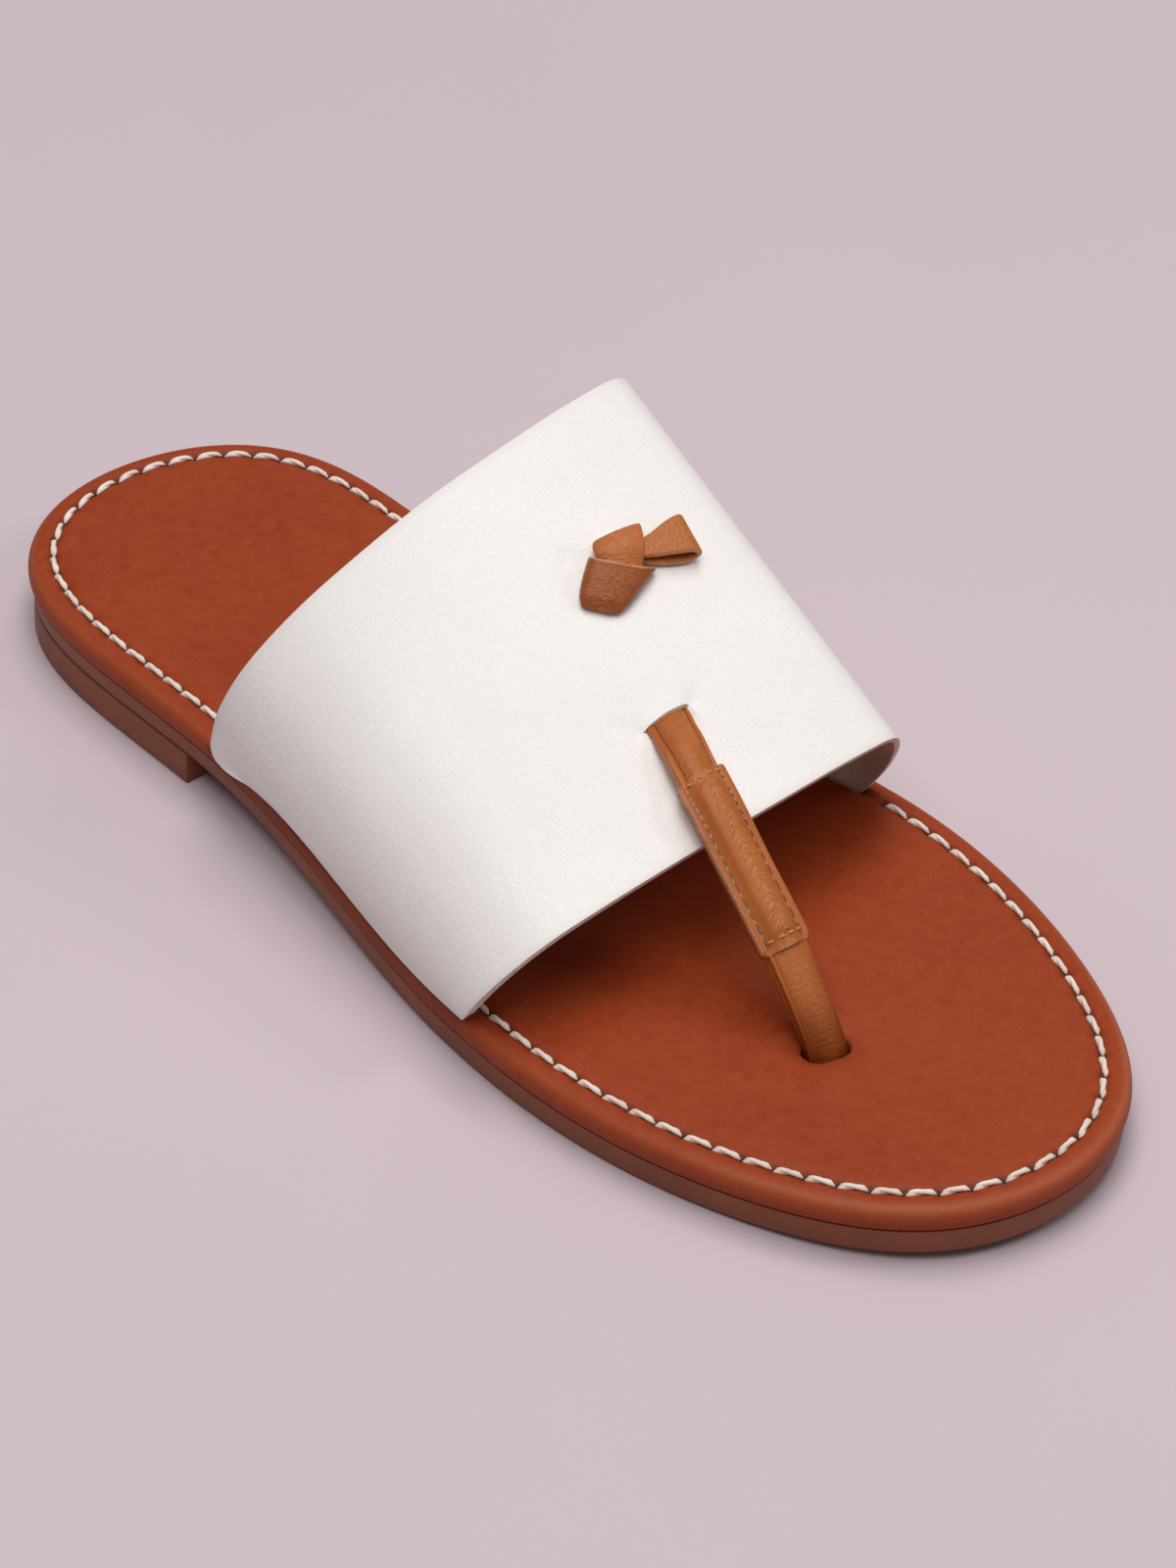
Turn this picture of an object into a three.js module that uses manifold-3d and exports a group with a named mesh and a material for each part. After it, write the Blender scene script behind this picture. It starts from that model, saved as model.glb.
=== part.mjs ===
// Left toe post sandal: a flat sole, a wide leather band over the instep and a strap to the toes.
// Millimetres, +Z up, toe towards -Y, outer side of the foot towards +X.
import * as THREE from 'three';
import { mergeVertices } from 'three/addons/utils/BufferGeometryUtils.js';
import Module from 'manifold-3d';

const wasm = await Module();
wasm.setup();

// Driving sizes
const soleLength = 252;
const gap = 0.3;
const slotEase = 0.45;
const forefootTop = 10.2;
const heelTop = 15.6;
const rampFrom = 71;
const rampTo = 150;
const toeSpring = 2.4;
const springFrom = 185;
const footbedThick = 5.0;
const plateThickFore = 5.2;
const plateThickHeel = 4.2;
const heelBreast = 69.6;
const bandWall = 1.8;
const bandTuck = 2.6;
const bandInset = { medial: 0.8, lateral: 2.4 };
const bandCornerRadius = 7;
const sleeveFrom = 0.495;
const sleeveTo = 0.75;
const toeHole = { x: -8.1, station: 203.4, long: 8.8, wide: 5.6, turn: 18 };
const knotSpot = { across: 0.604, along: 0.375, turn: 44.3 };

// How finely the curved pieces are divided
const rimSteps = 96;
const bandAcrossSteps = 48;
const bandAlongSteps = 10;
const stepsPerRow = 3;

// Outline of the sole: angle runs from the back of the heel (0) to the tip of the toe (180)
const outlineRows = [
  { angle: 0, medial: 0.2, lateral: 0.2 },
  { angle: 15, medial: -17.1, lateral: 18.3 },
  { angle: 30, medial: -29.5, lateral: 31.5 },
  { angle: 45, medial: -34.9, lateral: 36.3 },
  { angle: 60, medial: -35.9, lateral: 35.7 },
  { angle: 75, medial: -38.0, lateral: 37.2 },
  { angle: 90, medial: -43.5, lateral: 43.5 },
  { angle: 105, medial: -48.2, lateral: 49.1 },
  { angle: 120, medial: -47.5, lateral: 48.0 },
  { angle: 135, medial: -41.3, lateral: 40.6 },
  { angle: 150, medial: -31.6, lateral: 29.9 },
  { angle: 165, medial: -18.0, lateral: 16.1 },
  { angle: 180, medial: -0.9, lateral: -0.9 },
];

// Edge of the footbed, from its underside over the soft roll and the stitch channel to the flat top
const rollRows = [
  { inset: 1.7, drop: footbedThick - gap },
  { inset: 0.6, drop: 4.2 },
  { inset: 0.0, drop: 2.9 },
  { inset: 0.25, drop: 1.7 },
  { inset: 1.0, drop: 0.7 },
  { inset: 2.3, drop: 0.1 },
  { inset: 3.5, drop: 0.2 },
  { inset: 4.8, drop: 0.7 },
  { inset: 6.4, drop: 0.15 },
  { inset: 11.0, drop: 0.0 },
];

// Edge of the rubber plate, as a share of its thickness from the tread up
const plateRows = [
  { inset: 2.0, share: 0 },
  { inset: 1.1, share: 0.1 },
  { inset: 0.8, share: 0.4 },
  { inset: 0.6, share: 0.9 },
  { inset: 1.0, share: 1 },
];

// Side of the heel block, as a share of its height from the floor up
const heelRows = [
  { inset: 2.4, share: 0 },
  { inset: 1.8, share: 0.08 },
  { inset: 1.0, share: 1 },
];

// Outer face of the band at its rear and front edges, from the medial rim over to the lateral rim
const bandRows = [
  { rearX: -35.9, rearZ: 12.9, frontX: -47.5, frontZ: 7.6 },
  { rearX: -37.4, rearZ: 19.0, frontX: -49.1, frontZ: 13.0 },
  { rearX: -38.2, rearZ: 27.0, frontX: -48.2, frontZ: 18.5 },
  { rearX: -35.7, rearZ: 37.0, frontX: -45.0, frontZ: 23.8 },
  { rearX: -27.8, rearZ: 46.8, frontX: -38.9, frontZ: 28.6 },
  { rearX: -16.0, rearZ: 54.4, frontX: -28.0, frontZ: 31.3 },
  { rearX: -2.0, rearZ: 60.6, frontX: -11.0, frontZ: 33.4 },
  { rearX: 14.0, rearZ: 64.2, frontX: 8.0, frontZ: 34.5 },
  { rearX: 30.0, rearZ: 66.4, frontX: 26.0, frontZ: 34.8 },
  { rearX: 42.2, rearZ: 65.6, frontX: 36.8, frontZ: 33.0 },
  { rearX: 48.6, rearZ: 58.0, frontX: 42.4, frontZ: 27.0 },
  { rearX: 45.5, rearZ: 36.0, frontX: 46.4, frontZ: 17.0 },
  { rearX: 33.6, rearZ: 12.9, frontX: 46.6, frontZ: 7.6 },
];
const rearEdge = { station: 77, baseZ: 12, lean: 0.45, skew: 0.06, skewX: -36 };
const frontEdge = { station: 158.5, baseZ: 9, lean: 0.57, skew: 0, skewX: 0 };

// Upper face of the strap while the band carries it: place on the band and lift above it
const strapOnBand = [
  { across: 0.568, along: 0.56, lift: -2.3, width: 8.4, thick: 1.6 },
  { across: 0.562, along: 0.64, lift: -2.3, width: 8.8, thick: 1.6 },
  { across: 0.558, along: 0.69, lift: -1.7, width: 9.0, thick: 1.8 },
  { across: 0.555, along: 0.725, lift: 0.5, width: 9.0, thick: 2.0 },
  { across: 0.549, along: 0.768, lift: 2.4, width: 8.8, thick: 2.1 },
  { across: 0.545, along: 0.806, lift: 3.7, width: 8.6, thick: 2.6 },
  { across: 0.538, along: 0.888, lift: 4.6, width: 8.2, thick: 2.6 },
  { across: 0.533, along: 0.977, lift: 4.6, width: 8.0, thick: 2.6 },
];

// Upper face of the strap from the band's front edge down into the footbed
const strapFree = [
  { x: -5.1, station: 181.1, z: 32.9, width: 7.8, thick: 2.8, turn: 0 },
  { x: -6.7, station: 192.5, z: 24.2, width: 7.6, thick: 3.0, turn: 5 },
  { x: -7.9, station: 200.3, z: 16.6, width: 7.2, thick: 3.2, turn: 12 },
  { x: -8.2, station: 204.2, z: 10.4, width: 6.9, thick: 3.4, turn: 18 },
  { x: -8.3, station: 205.0, z: 7.6, width: 6.9, thick: 3.4, turn: 18 },
];

// Knot of the same strap: places in the knot's own directions, along its crease and away from it
const foldRows = [
  { along: 0.2, away: 0.8, lift: 3.9, width: 11.0, thick: 3.5 },
  { along: -1.3, away: 4.8, lift: 3.8, width: 9.8, thick: 3.4 },
  { along: -3.0, away: 9.0, lift: 2.8, width: 8.0, thick: 2.4 },
  { along: -3.3, away: 10.2, lift: 1.6, width: 7.0, thick: 1.2 },
];
const wrapRows = [
  { along: -2.2, away: -5.4, lift: 1.6, width: 8.4, thick: 1.2 },
  { along: -1.9, away: -4.8, lift: 3.6, width: 9.0, thick: 3.2 },
  { along: -1.3, away: -3.0, lift: 5.0, width: 9.2, thick: 4.6 },
  { along: -0.6, away: 0.2, lift: 4.9, width: 9.2, thick: 4.5 },
];
const loopRows = [
  { along: 6.0, away: -3.4, lift: 1.6, width: 6.6, thick: 1.2 },
  { along: 8.8, away: -5.1, lift: 1.6, width: 7.6, thick: 1.2 },
  { along: 11.2, away: -6.6, lift: 1.7, width: 8.2, thick: 1.2 },
  { along: 12.2, away: -7.2, lift: 2.3, width: 8.2, thick: 1.2 },
  { along: 11.2, away: -6.6, lift: 3.0, width: 8.2, thick: 1.2 },
  { along: 8.6, away: -5.0, lift: 2.9, width: 7.6, thick: 1.2 },
  { along: 6.0, away: -3.4, lift: 2.7, width: 6.6, thick: 1.2 },
];

// Closed solids and how they are cut

function closedGeometry(points, triangles) {
  let volume = 0;
  for (const [a, b, c] of triangles) {
    volume += points[a].dot(new THREE.Vector3().crossVectors(points[b], points[c]));
  }
  const facing = volume < 0 ? triangles.map(([a, b, c]) => [a, c, b]) : triangles;
  const geometry = new THREE.BufferGeometry();
  geometry.setAttribute('position', new THREE.Float32BufferAttribute(points.flatMap((p) => p.toArray()), 3));
  geometry.setIndex(facing.flat());
  return geometry;
}

function solidOf(geometry) {
  const bare = geometry.clone();
  bare.deleteAttribute('normal');
  bare.deleteAttribute('uv');
  const merged = mergeVertices(bare);
  const vertProperties = new Float32Array(merged.attributes.position.array);
  const triVerts = new Uint32Array(merged.index.array);
  return new wasm.Manifold(new wasm.Mesh({ numProp: 3, vertProperties, triVerts }));
}

function geometryOf(solid) {
  const { numProp, vertProperties, triVerts } = solid.getMesh();
  const positions = [];
  for (let i = 0; i < vertProperties.length; i += numProp) {
    positions.push(vertProperties[i], vertProperties[i + 1], vertProperties[i + 2]);
  }
  const geometry = new THREE.BufferGeometry();
  geometry.setAttribute('position', new THREE.Float32BufferAttribute(positions, 3));
  geometry.setIndex(Array.from(triVerts));
  return geometry;
}

function cutBy(geometry, cutters) {
  const solid = cutters.reduce((left, cutter) => left.subtract(solidOf(cutter)), solidOf(geometry));
  return geometryOf(solid);
}

const placeAt = (x, station, z) => new THREE.Vector3(x, soleLength / 2 - station, z);
const degrees = THREE.MathUtils.degToRad;

// Sole outline and heights

function outlineX(angle) {
  const count = 2 * (outlineRows.length - 1);
  const share = (offset) => {
    const half = Math.tan(offset / 2);
    return Math.abs(half) < 1e-9 ? 1 : Math.sin((count * offset) / 2) / (count * half);
  };
  let x = 0;
  for (const row of outlineRows) {
    x += row.medial * share(angle - degrees(row.angle));
    if (row.angle > 0 && row.angle < 180) {
      x += row.lateral * share(angle + degrees(row.angle));
    }
  }
  return x;
}

const outlineStation = (angle) => (soleLength / 2) * (1 - Math.cos(angle));

function rimPoint(angle, inset) {
  const step = 0.002;
  const dx = outlineX(angle + step) - outlineX(angle - step);
  const ds = outlineStation(angle + step) - outlineStation(angle - step);
  const norm = Math.hypot(dx, ds);
  return { x: outlineX(angle) + (ds / norm) * inset, station: outlineStation(angle) - (dx / norm) * inset };
}

function footbedTop(station) {
  const ramp = THREE.MathUtils.smoothstep(station, rampFrom, rampTo);
  const spring = Math.max(0, (station - springFrom) / (soleLength - springFrom));
  return heelTop + (forefootTop - heelTop) * ramp + toeSpring * spring * spring;
}

function plateBottom(station) {
  const ramp = THREE.MathUtils.smoothstep(station, rampFrom, rampTo);
  const thick = plateThickHeel + (plateThickFore - plateThickHeel) * ramp;
  return footbedTop(station) - footbedThick - thick;
}

function stackRims(rows, heightAt) {
  const points = [];
  for (const row of rows) {
    for (let i = 0; i < rimSteps; i += 1) {
      const { x, station } = rimPoint((2 * Math.PI * i) / rimSteps, row.inset);
      points.push(placeAt(x, station, heightAt(row, station)));
    }
  }
  const triangles = [];
  for (let k = 0; k < rows.length - 1; k += 1) {
    for (let i = 0; i < rimSteps; i += 1) {
      const a = k * rimSteps + i;
      const b = k * rimSteps + ((i + 1) % rimSteps);
      triangles.push([a, b, b + rimSteps], [a, b + rimSteps, a + rimSteps]);
    }
  }
  const top = (rows.length - 1) * rimSteps;
  for (let i = 0; i < rimSteps / 2; i += 1) {
    const left = i;
    const right = (rimSteps - i) % rimSteps;
    if (i > 0) {
      triangles.push([top + left, top + left + 1, top + right]);
      triangles.push([left, right, left + 1]);
    }
    if (i < rimSteps / 2 - 1) {
      const next = rimSteps - i - 1;
      triangles.push([top + left + 1, top + next, top + right]);
      triangles.push([left + 1, right, next]);
    }
  }
  return closedGeometry(points, triangles);
}

// Band: straight lines from its rear edge to its front edge

function edgeCurve(edge, rowX, rowZ) {
  const points = bandRows.map((row) => {
    const x = row[rowX];
    const z = row[rowZ];
    return placeAt(x, edge.station + edge.lean * (z - edge.baseZ) - edge.skew * (x - edge.skewX), z);
  });
  return new THREE.CatmullRomCurve3(points, false, 'centripetal');
}
const rearCurve = edgeCurve(rearEdge, 'rearX', 'rearZ');
const frontCurve = edgeCurve(frontEdge, 'frontX', 'frontZ');

function bandFace(across, along) {
  const rear = rearCurve.getPoint(across);
  return rear.lerp(frontCurve.getPoint(across), along);
}

function bandNormal(across, along) {
  const step = 0.002;
  const low = Math.max(0, across - step);
  const high = Math.min(1, across + step);
  const over = bandFace(high, along).sub(bandFace(low, along));
  const forward = bandFace(across, along + step).sub(bandFace(across, along - step));
  return forward.cross(over).normalize();
}

const onBand = (across, along, lift) => bandFace(across, along).addScaledVector(bandNormal(across, along), lift);

// The two lower ends follow the rim, tucked a little into the roll
function bandEnd(across, along) {
  const side = across < 0.5 ? 'medial' : 'lateral';
  const face = bandFace(across, along);
  const station = soleLength / 2 - face.y;
  const angle = Math.acos(1 - (2 * station) / soleLength);
  const rim = rimPoint(side === 'medial' ? angle : -angle, bandInset[side]);
  return placeAt(rim.x, station, footbedTop(station) - bandTuck);
}

function bandPoint(across, along, lift, grow) {
  const fromEnd = Math.min(across, 1 - across) * (bandRows.length - 1);
  const fit = Math.max(0, 1 - fromEnd);
  const end = across < 0.5 ? 0 : 1;
  const shift = bandEnd(end, along).sub(bandFace(end, along)).multiplyScalar(fit * fit);
  const point = onBand(across, along, lift).add(shift);
  point.z -= fit === 1 ? grow : 0;
  return point;
}

// Both rear corners are cut round
function bandRear(across) {
  const end = across < 0.5 ? 0 : 1;
  const reach = rearCurve.getPoint(across).distanceTo(rearCurve.getPoint(end));
  const short = Math.max(0, bandCornerRadius - reach);
  const back = bandCornerRadius - Math.sqrt(bandCornerRadius ** 2 - short ** 2);
  return back / rearCurve.getPoint(across).distanceTo(frontCurve.getPoint(across));
}

function bandGeometry(grow) {
  const columns = bandAlongSteps + 1;
  const layer = columns * (bandAcrossSteps + 1);
  const points = [];
  for (const lift of [grow, -bandWall - grow]) {
    for (let i = 0; i <= bandAcrossSteps; i += 1) {
      const across = i / bandAcrossSteps;
      const generator = rearCurve.getPoint(across).distanceTo(frontCurve.getPoint(across));
      const from = bandRear(across) - grow / generator;
      const to = 1 + grow / generator;
      for (let j = 0; j <= bandAlongSteps; j += 1) {
        points.push(bandPoint(across, from + ((to - from) * j) / bandAlongSteps, lift, grow));
      }
    }
  }
  const triangles = [];
  const quad = (a, b, c, d) => triangles.push([a, b, c], [a, c, d]);
  for (let i = 0; i < bandAcrossSteps; i += 1) {
    for (let j = 0; j < bandAlongSteps; j += 1) {
      const a = i * columns + j;
      quad(a, a + columns, a + columns + 1, a + 1);
      quad(layer + a, layer + a + 1, layer + a + columns + 1, layer + a + columns);
    }
    const rear = i * columns;
    const front = rear + bandAlongSteps;
    quad(rear, layer + rear, layer + rear + columns, rear + columns);
    quad(front, front + columns, layer + front + columns, layer + front);
  }
  const lastRow = bandAcrossSteps * columns;
  for (let j = 0; j < bandAlongSteps; j += 1) {
    quad(j, j + 1, layer + j + 1, layer + j);
    quad(lastRow + j, layer + lastRow + j, layer + lastRow + j + 1, lastRow + j + 1);
  }
  return closedGeometry(points, triangles);
}

// Straps: a section carried along a path, turned so that its upper face looks away from the band

function sectionsAlong(rows, sideAt, from = 0, to = 1) {
  const curve = new THREE.CatmullRomCurve3(rows.map((row) => row.point), false, 'centripetal');
  const steps = Math.round((rows.length - 1) * stepsPerRow * (to - from));
  const sections = [];
  for (let i = 0; i <= steps; i += 1) {
    const t = from + ((to - from) * i) / steps;
    const at = t * (rows.length - 1);
    const row = Math.min(Math.floor(at), rows.length - 2);
    const blend = (key) => THREE.MathUtils.lerp(rows[row][key], rows[row + 1][key], at - row);
    const tangent = curve.getTangent(t);
    const side = sideAt(blend('turn'), tangent);
    side.addScaledVector(tangent, -side.dot(tangent)).normalize();
    const up = new THREE.Vector3().crossVectors(tangent, side);
    sections.push({ origin: curve.getPoint(t), side, up, tangent, width: blend('width'), thick: blend('thick') });
  }
  return sections;
}

function sweep(sections, outlineOf) {
  const points = [];
  for (const section of sections) {
    for (const [out, high] of outlineOf(section)) {
      points.push(section.origin.clone().addScaledVector(section.side, out).addScaledVector(section.up, high));
    }
  }
  const flat = outlineOf(sections[0]).map(([out, high]) => new THREE.Vector2(out, high));
  const count = flat.length;
  const last = (sections.length - 1) * count;
  const triangles = [];
  for (let k = 0; k < sections.length - 1; k += 1) {
    for (let i = 0; i < count; i += 1) {
      const a = k * count + i;
      const b = k * count + ((i + 1) % count);
      triangles.push([a, b, b + count], [a, b + count, a + count]);
    }
  }
  const turning = THREE.ShapeUtils.isClockWise(flat) ? 1 : -1;
  for (const [a, b, c] of THREE.ShapeUtils.triangulateShape(flat, [])) {
    const [p, q] = turning > 0 ? [b, c] : [c, b];
    triangles.push([a, p, q], [last + a, last + q, last + p]);
  }
  return closedGeometry(points, triangles);
}

// Half of a section, from its underside to its crown, mirrored to the other half
const mirrored = (half) => [...half, ...half.map(([out, high]) => [-out, high]).reverse()];

function strapOutline(grow) {
  return ({ width, thick }) => {
    const half = width / 2 + grow;
    const low = -thick - grow;
    return mirrored([
      [half - 0.6, low],
      [half, low + 0.5],
      [half, -0.8],
      [half - 1.1, -0.25 + grow],
      [half * 0.45, grow],
    ]);
  };
}

// The sleeve has a flat sewn flange at each side and a raised middle over the strap
function sleeveOutline({ width, thick }) {
  const half = width / 2 + 1.1;
  const low = -thick - gap - 0.8;
  return mirrored([
    [half - 0.4, low],
    [half, low + 0.4],
    [half, -0.7],
    [half - 0.3, -0.3],
    [half - 2.0, 0.5],
    [half * 0.4, 1.3],
  ]);
}

function laceOutline(grow) {
  return ({ width, thick }) => {
    const half = width / 2 + grow;
    const soft = Math.min(0.5, thick / 2.2);
    return mirrored([
      [half - soft, -thick - grow],
      [half, soft - thick - grow],
      [half, grow - soft],
      [half - soft, grow],
    ]);
  };
}

const bandPlaced = strapOnBand.map((row) => ({ ...row, turn: 0, point: onBand(row.across, row.along, row.lift) }));
const freePlaced = strapFree.map((row) => ({ ...row, point: placeAt(row.x, row.station, row.z) }));
const strapRows = [...bandPlaced, ...freePlaced];
const strapSide = (turn) => new THREE.Vector3(Math.cos(degrees(turn)), -Math.sin(degrees(turn)), 0);
const strapSections = sectionsAlong(strapRows, strapSide);

function lengthened(sections, extra) {
  const ends = [sections[0], sections[sections.length - 1]].map((section, i) => ({
    ...section,
    origin: section.origin.clone().addScaledVector(section.tangent, i === 0 ? -extra : extra),
  }));
  return [ends[0], ...sections, ends[1]];
}

// Knot directions on the band, and the place of a point that is given in them
const knotNormal = bandNormal(knotSpot.across, knotSpot.along);
const knotCrease = new THREE.Vector3(Math.cos(degrees(knotSpot.turn)), -Math.sin(degrees(knotSpot.turn)), 0);
knotCrease.addScaledVector(knotNormal, -knotCrease.dot(knotNormal)).normalize();
const knotAway = new THREE.Vector3().crossVectors(knotCrease, knotNormal).normalize();

function knotPlace({ along, away, lift }) {
  const step = 0.01;
  const middle = bandFace(knotSpot.across, knotSpot.along);
  const over = bandFace(knotSpot.across + step, knotSpot.along).sub(middle).divideScalar(step);
  const forward = bandFace(knotSpot.across, knotSpot.along + step).sub(middle).divideScalar(step);
  const move = knotCrease.clone().multiplyScalar(along).addScaledVector(knotAway, away);
  const mixed = over.dot(forward);
  const spread = over.lengthSq() * forward.lengthSq() - mixed * mixed;
  const acrossMove = (move.dot(over) * forward.lengthSq() - move.dot(forward) * mixed) / spread;
  const alongMove = (move.dot(forward) * over.lengthSq() - move.dot(over) * mixed) / spread;
  return onBand(knotSpot.across + acrossMove, knotSpot.along + alongMove, lift);
}

function knotSections(rows) {
  const placed = rows.map((row) => ({ ...row, turn: 0, point: knotPlace(row) }));
  const reach = placed[Math.floor(rows.length / 2)].point.clone().sub(placed[0].point);
  const acrossStrip = new THREE.Vector3().crossVectors(knotNormal, reach);
  return sectionsAlong(placed, () => acrossStrip.clone());
}

// Pieces

function toeHoleCutter() {
  const shape = new THREE.Shape();
  const straight = (toeHole.long - toeHole.wide) / 2;
  const round = toeHole.wide / 2;
  shape.absarc(straight, 0, round, -Math.PI / 2, Math.PI / 2);
  shape.absarc(-straight, 0, round, Math.PI / 2, (3 * Math.PI) / 2);
  const cutter = new THREE.ExtrudeGeometry(shape, { depth: heelTop, bevelEnabled: false, curveSegments: 8 });
  cutter.rotateZ(-degrees(toeHole.turn));
  const place = placeAt(toeHole.x, toeHole.station, 0);
  cutter.translate(place.x, place.y, 0);
  return cutter;
}

function footbedGeometry() {
  const whole = stackRims(rollRows, (row, station) => footbedTop(station) - row.drop);
  return cutBy(whole, [bandGeometry(slotEase), toeHoleCutter(), sweep(strapSections, strapOutline(gap))]);
}

function plateGeometry() {
  const heightAt = (row, station) => {
    const low = plateBottom(station);
    return low + row.share * (footbedTop(station) - footbedThick - low);
  };
  return stackRims(plateRows, heightAt);
}

function heelGeometry() {
  const height = plateBottom(0) - gap;
  const whole = stackRims(heelRows, (row) => row.share * height);
  const front = new THREE.BoxGeometry(2 * soleLength, 2 * soleLength, 2 * soleLength);
  front.translate(0, soleLength / 2 - heelBreast - soleLength, 0);
  return cutBy(whole, [front]);
}

function sleeveGeometry() {
  const covered = sectionsAlong(strapRows, strapSide, sleeveFrom, sleeveTo);
  const body = sweep(covered, sleeveOutline);
  return cutBy(body, [sweep(lengthened(covered, 2), strapOutline(gap))]);
}

const foldSections = knotSections(foldRows);

// The wrap stops against the fold
function wrapGeometry() {
  const whole = sweep(knotSections(wrapRows), laceOutline(0));
  return cutBy(whole, [sweep(lengthened(foldSections, gap), laceOutline(gap))]);
}

const finishes = {
  rubber: new THREE.MeshStandardMaterial({ color: 0x6e4132, roughness: 0.65, metalness: 0 }),
  cognac: new THREE.MeshStandardMaterial({ color: 0x984226, roughness: 0.5, metalness: 0 }),
  white: new THREE.MeshStandardMaterial({ color: 0xf3f0ec, roughness: 0.55, metalness: 0 }),
  tan: new THREE.MeshStandardMaterial({ color: 0xb97038, roughness: 0.5, metalness: 0 }),
};

const pieces = [
  { name: 'heel_block', geometry: heelGeometry(), finish: finishes.rubber },
  { name: 'outsole', geometry: plateGeometry(), finish: finishes.rubber },
  { name: 'footbed', geometry: footbedGeometry(), finish: finishes.cognac },
  {
    name: 'upper_band',
    geometry: cutBy(bandGeometry(0), [sweep(strapSections, strapOutline(gap))]),
    finish: finishes.white,
  },
  { name: 'toe_strap', geometry: sweep(strapSections, strapOutline(0)), finish: finishes.tan },
  { name: 'strap_sleeve', geometry: sleeveGeometry(), finish: finishes.tan },
  { name: 'knot_fold', geometry: sweep(foldSections, laceOutline(0)), finish: finishes.tan },
  { name: 'knot_wrap', geometry: wrapGeometry(), finish: finishes.tan },
  { name: 'knot_loop', geometry: sweep(knotSections(loopRows), laceOutline(0)), finish: finishes.tan },
];

const sandal = new THREE.Group();
for (const { name, geometry, finish } of pieces) {
  const mesh = new THREE.Mesh(geometry, finish);
  mesh.name = name;
  sandal.add(mesh);
}

// The origin is under the middle of the sandal's box
const box = new THREE.Box3().setFromObject(sandal);
const middle = box.getCenter(new THREE.Vector3());
sandal.position.set(-middle.x, -middle.y, -box.min.z);

export default sandal;
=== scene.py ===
import math
import bmesh
import bpy
from mathutils import Matrix, Vector


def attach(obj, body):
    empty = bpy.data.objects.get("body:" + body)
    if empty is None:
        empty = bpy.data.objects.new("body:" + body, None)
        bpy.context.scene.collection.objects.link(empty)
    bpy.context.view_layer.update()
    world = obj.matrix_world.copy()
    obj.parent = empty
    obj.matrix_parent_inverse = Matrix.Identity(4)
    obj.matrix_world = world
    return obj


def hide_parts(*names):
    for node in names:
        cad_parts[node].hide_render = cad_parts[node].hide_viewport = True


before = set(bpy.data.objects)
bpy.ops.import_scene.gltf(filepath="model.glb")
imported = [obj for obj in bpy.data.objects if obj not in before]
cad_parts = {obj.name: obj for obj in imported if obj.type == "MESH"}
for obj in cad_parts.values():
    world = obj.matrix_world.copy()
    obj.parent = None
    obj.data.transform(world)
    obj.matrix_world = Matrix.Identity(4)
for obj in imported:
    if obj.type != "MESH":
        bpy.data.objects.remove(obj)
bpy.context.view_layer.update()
print("frame loaded:", ", ".join(sorted(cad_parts)))

mm = 0.001
boxMiddleX = 0.2277  # mm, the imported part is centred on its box


# Small helpers for numbers

def smoothstep(low, high, value):
    t = min(max((value - low) / (high - low), 0.0), 1.0)
    return t * t * (3 - 2 * t)


def bell(value, width):
    return math.exp(-(value / width) ** 2)


def signedPower(value, power):
    return math.copysign(abs(value) ** power, value)


def lerp(first, second, share):
    return first + (second - first) * share


# A smooth curve through points, measured in rows from 0 to 1
def curveThrough(points):
    last = len(points) - 1

    def at(t):
        spot = t * last
        i = min(max(int(math.floor(spot)), 0), last - 1)
        w = spot - i
        p1, p2 = points[i], points[i + 1]
        p0 = points[i - 1] if i > 0 else p1 * 2 - p2
        p3 = points[i + 2] if i + 2 <= last else p2 * 2 - p1
        d0, d1, d2 = (max((b - a).length ** 0.5, 0.01) for a, b in ((p0, p1), (p1, p2), (p2, p3)))
        t1 = ((p1 - p0) / d0 - (p2 - p0) / (d0 + d1) + (p2 - p1) / d1) * d1
        t2 = ((p2 - p1) / d1 - (p3 - p1) / (d1 + d2) + (p3 - p2) / d2) * d1
        return p1 + t1 * w + (p2 * 3 - p1 * 3 - t1 * 2 - t2) * w ** 2 + (p1 * 2 - p2 * 2 + t1 + t2) * w ** 3

    return at


# Sole: outline and heights, in mm

sole = {
    "length": 252.0,
    "forefootTop": 10.2,
    "heelTop": 15.6,
    "rampFrom": 71.0,
    "rampTo": 150.0,
    "toeSpring": 2.4,
    "springFrom": 185.0,
    "footbedThick": 5.0,
    "plateThickFore": 5.2,
    "plateThickHeel": 4.2,
    "heelBreast": 69.6,
    "rimSteps": 600,
    # half widths every 15 degrees from the back of the heel to the tip of the toe
    "medial": (0.2, -17.1, -29.5, -34.9, -35.9, -38.0, -43.5, -48.2, -47.5, -41.3, -31.6, -18.0, -0.9),
    "lateral": (0.2, 18.3, 31.5, 36.3, 35.7, 37.2, 43.5, 49.1, 48.0, 40.6, 29.9, 16.1, -0.9),
}


def placeAt(x, station, z):
    return Vector((x, sole["length"] / 2 - station, z))


def stationOf(point):
    return sole["length"] / 2 - point.y


def outlineX(angle):
    rows = len(sole["medial"]) - 1
    count = 2 * rows

    def share(offset):
        half = math.tan(offset / 2)
        return 1.0 if abs(half) < 1e-9 else math.sin(count * offset / 2) / (count * half)

    x = 0.0
    for i in range(rows + 1):
        x += sole["medial"][i] * share(angle - math.pi * i / rows)
        if 0 < i < rows:
            x += sole["lateral"][i] * share(angle + math.pi * i / rows)
    return x


def outlineStation(angle):
    return sole["length"] / 2 * (1 - math.cos(angle))


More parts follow.
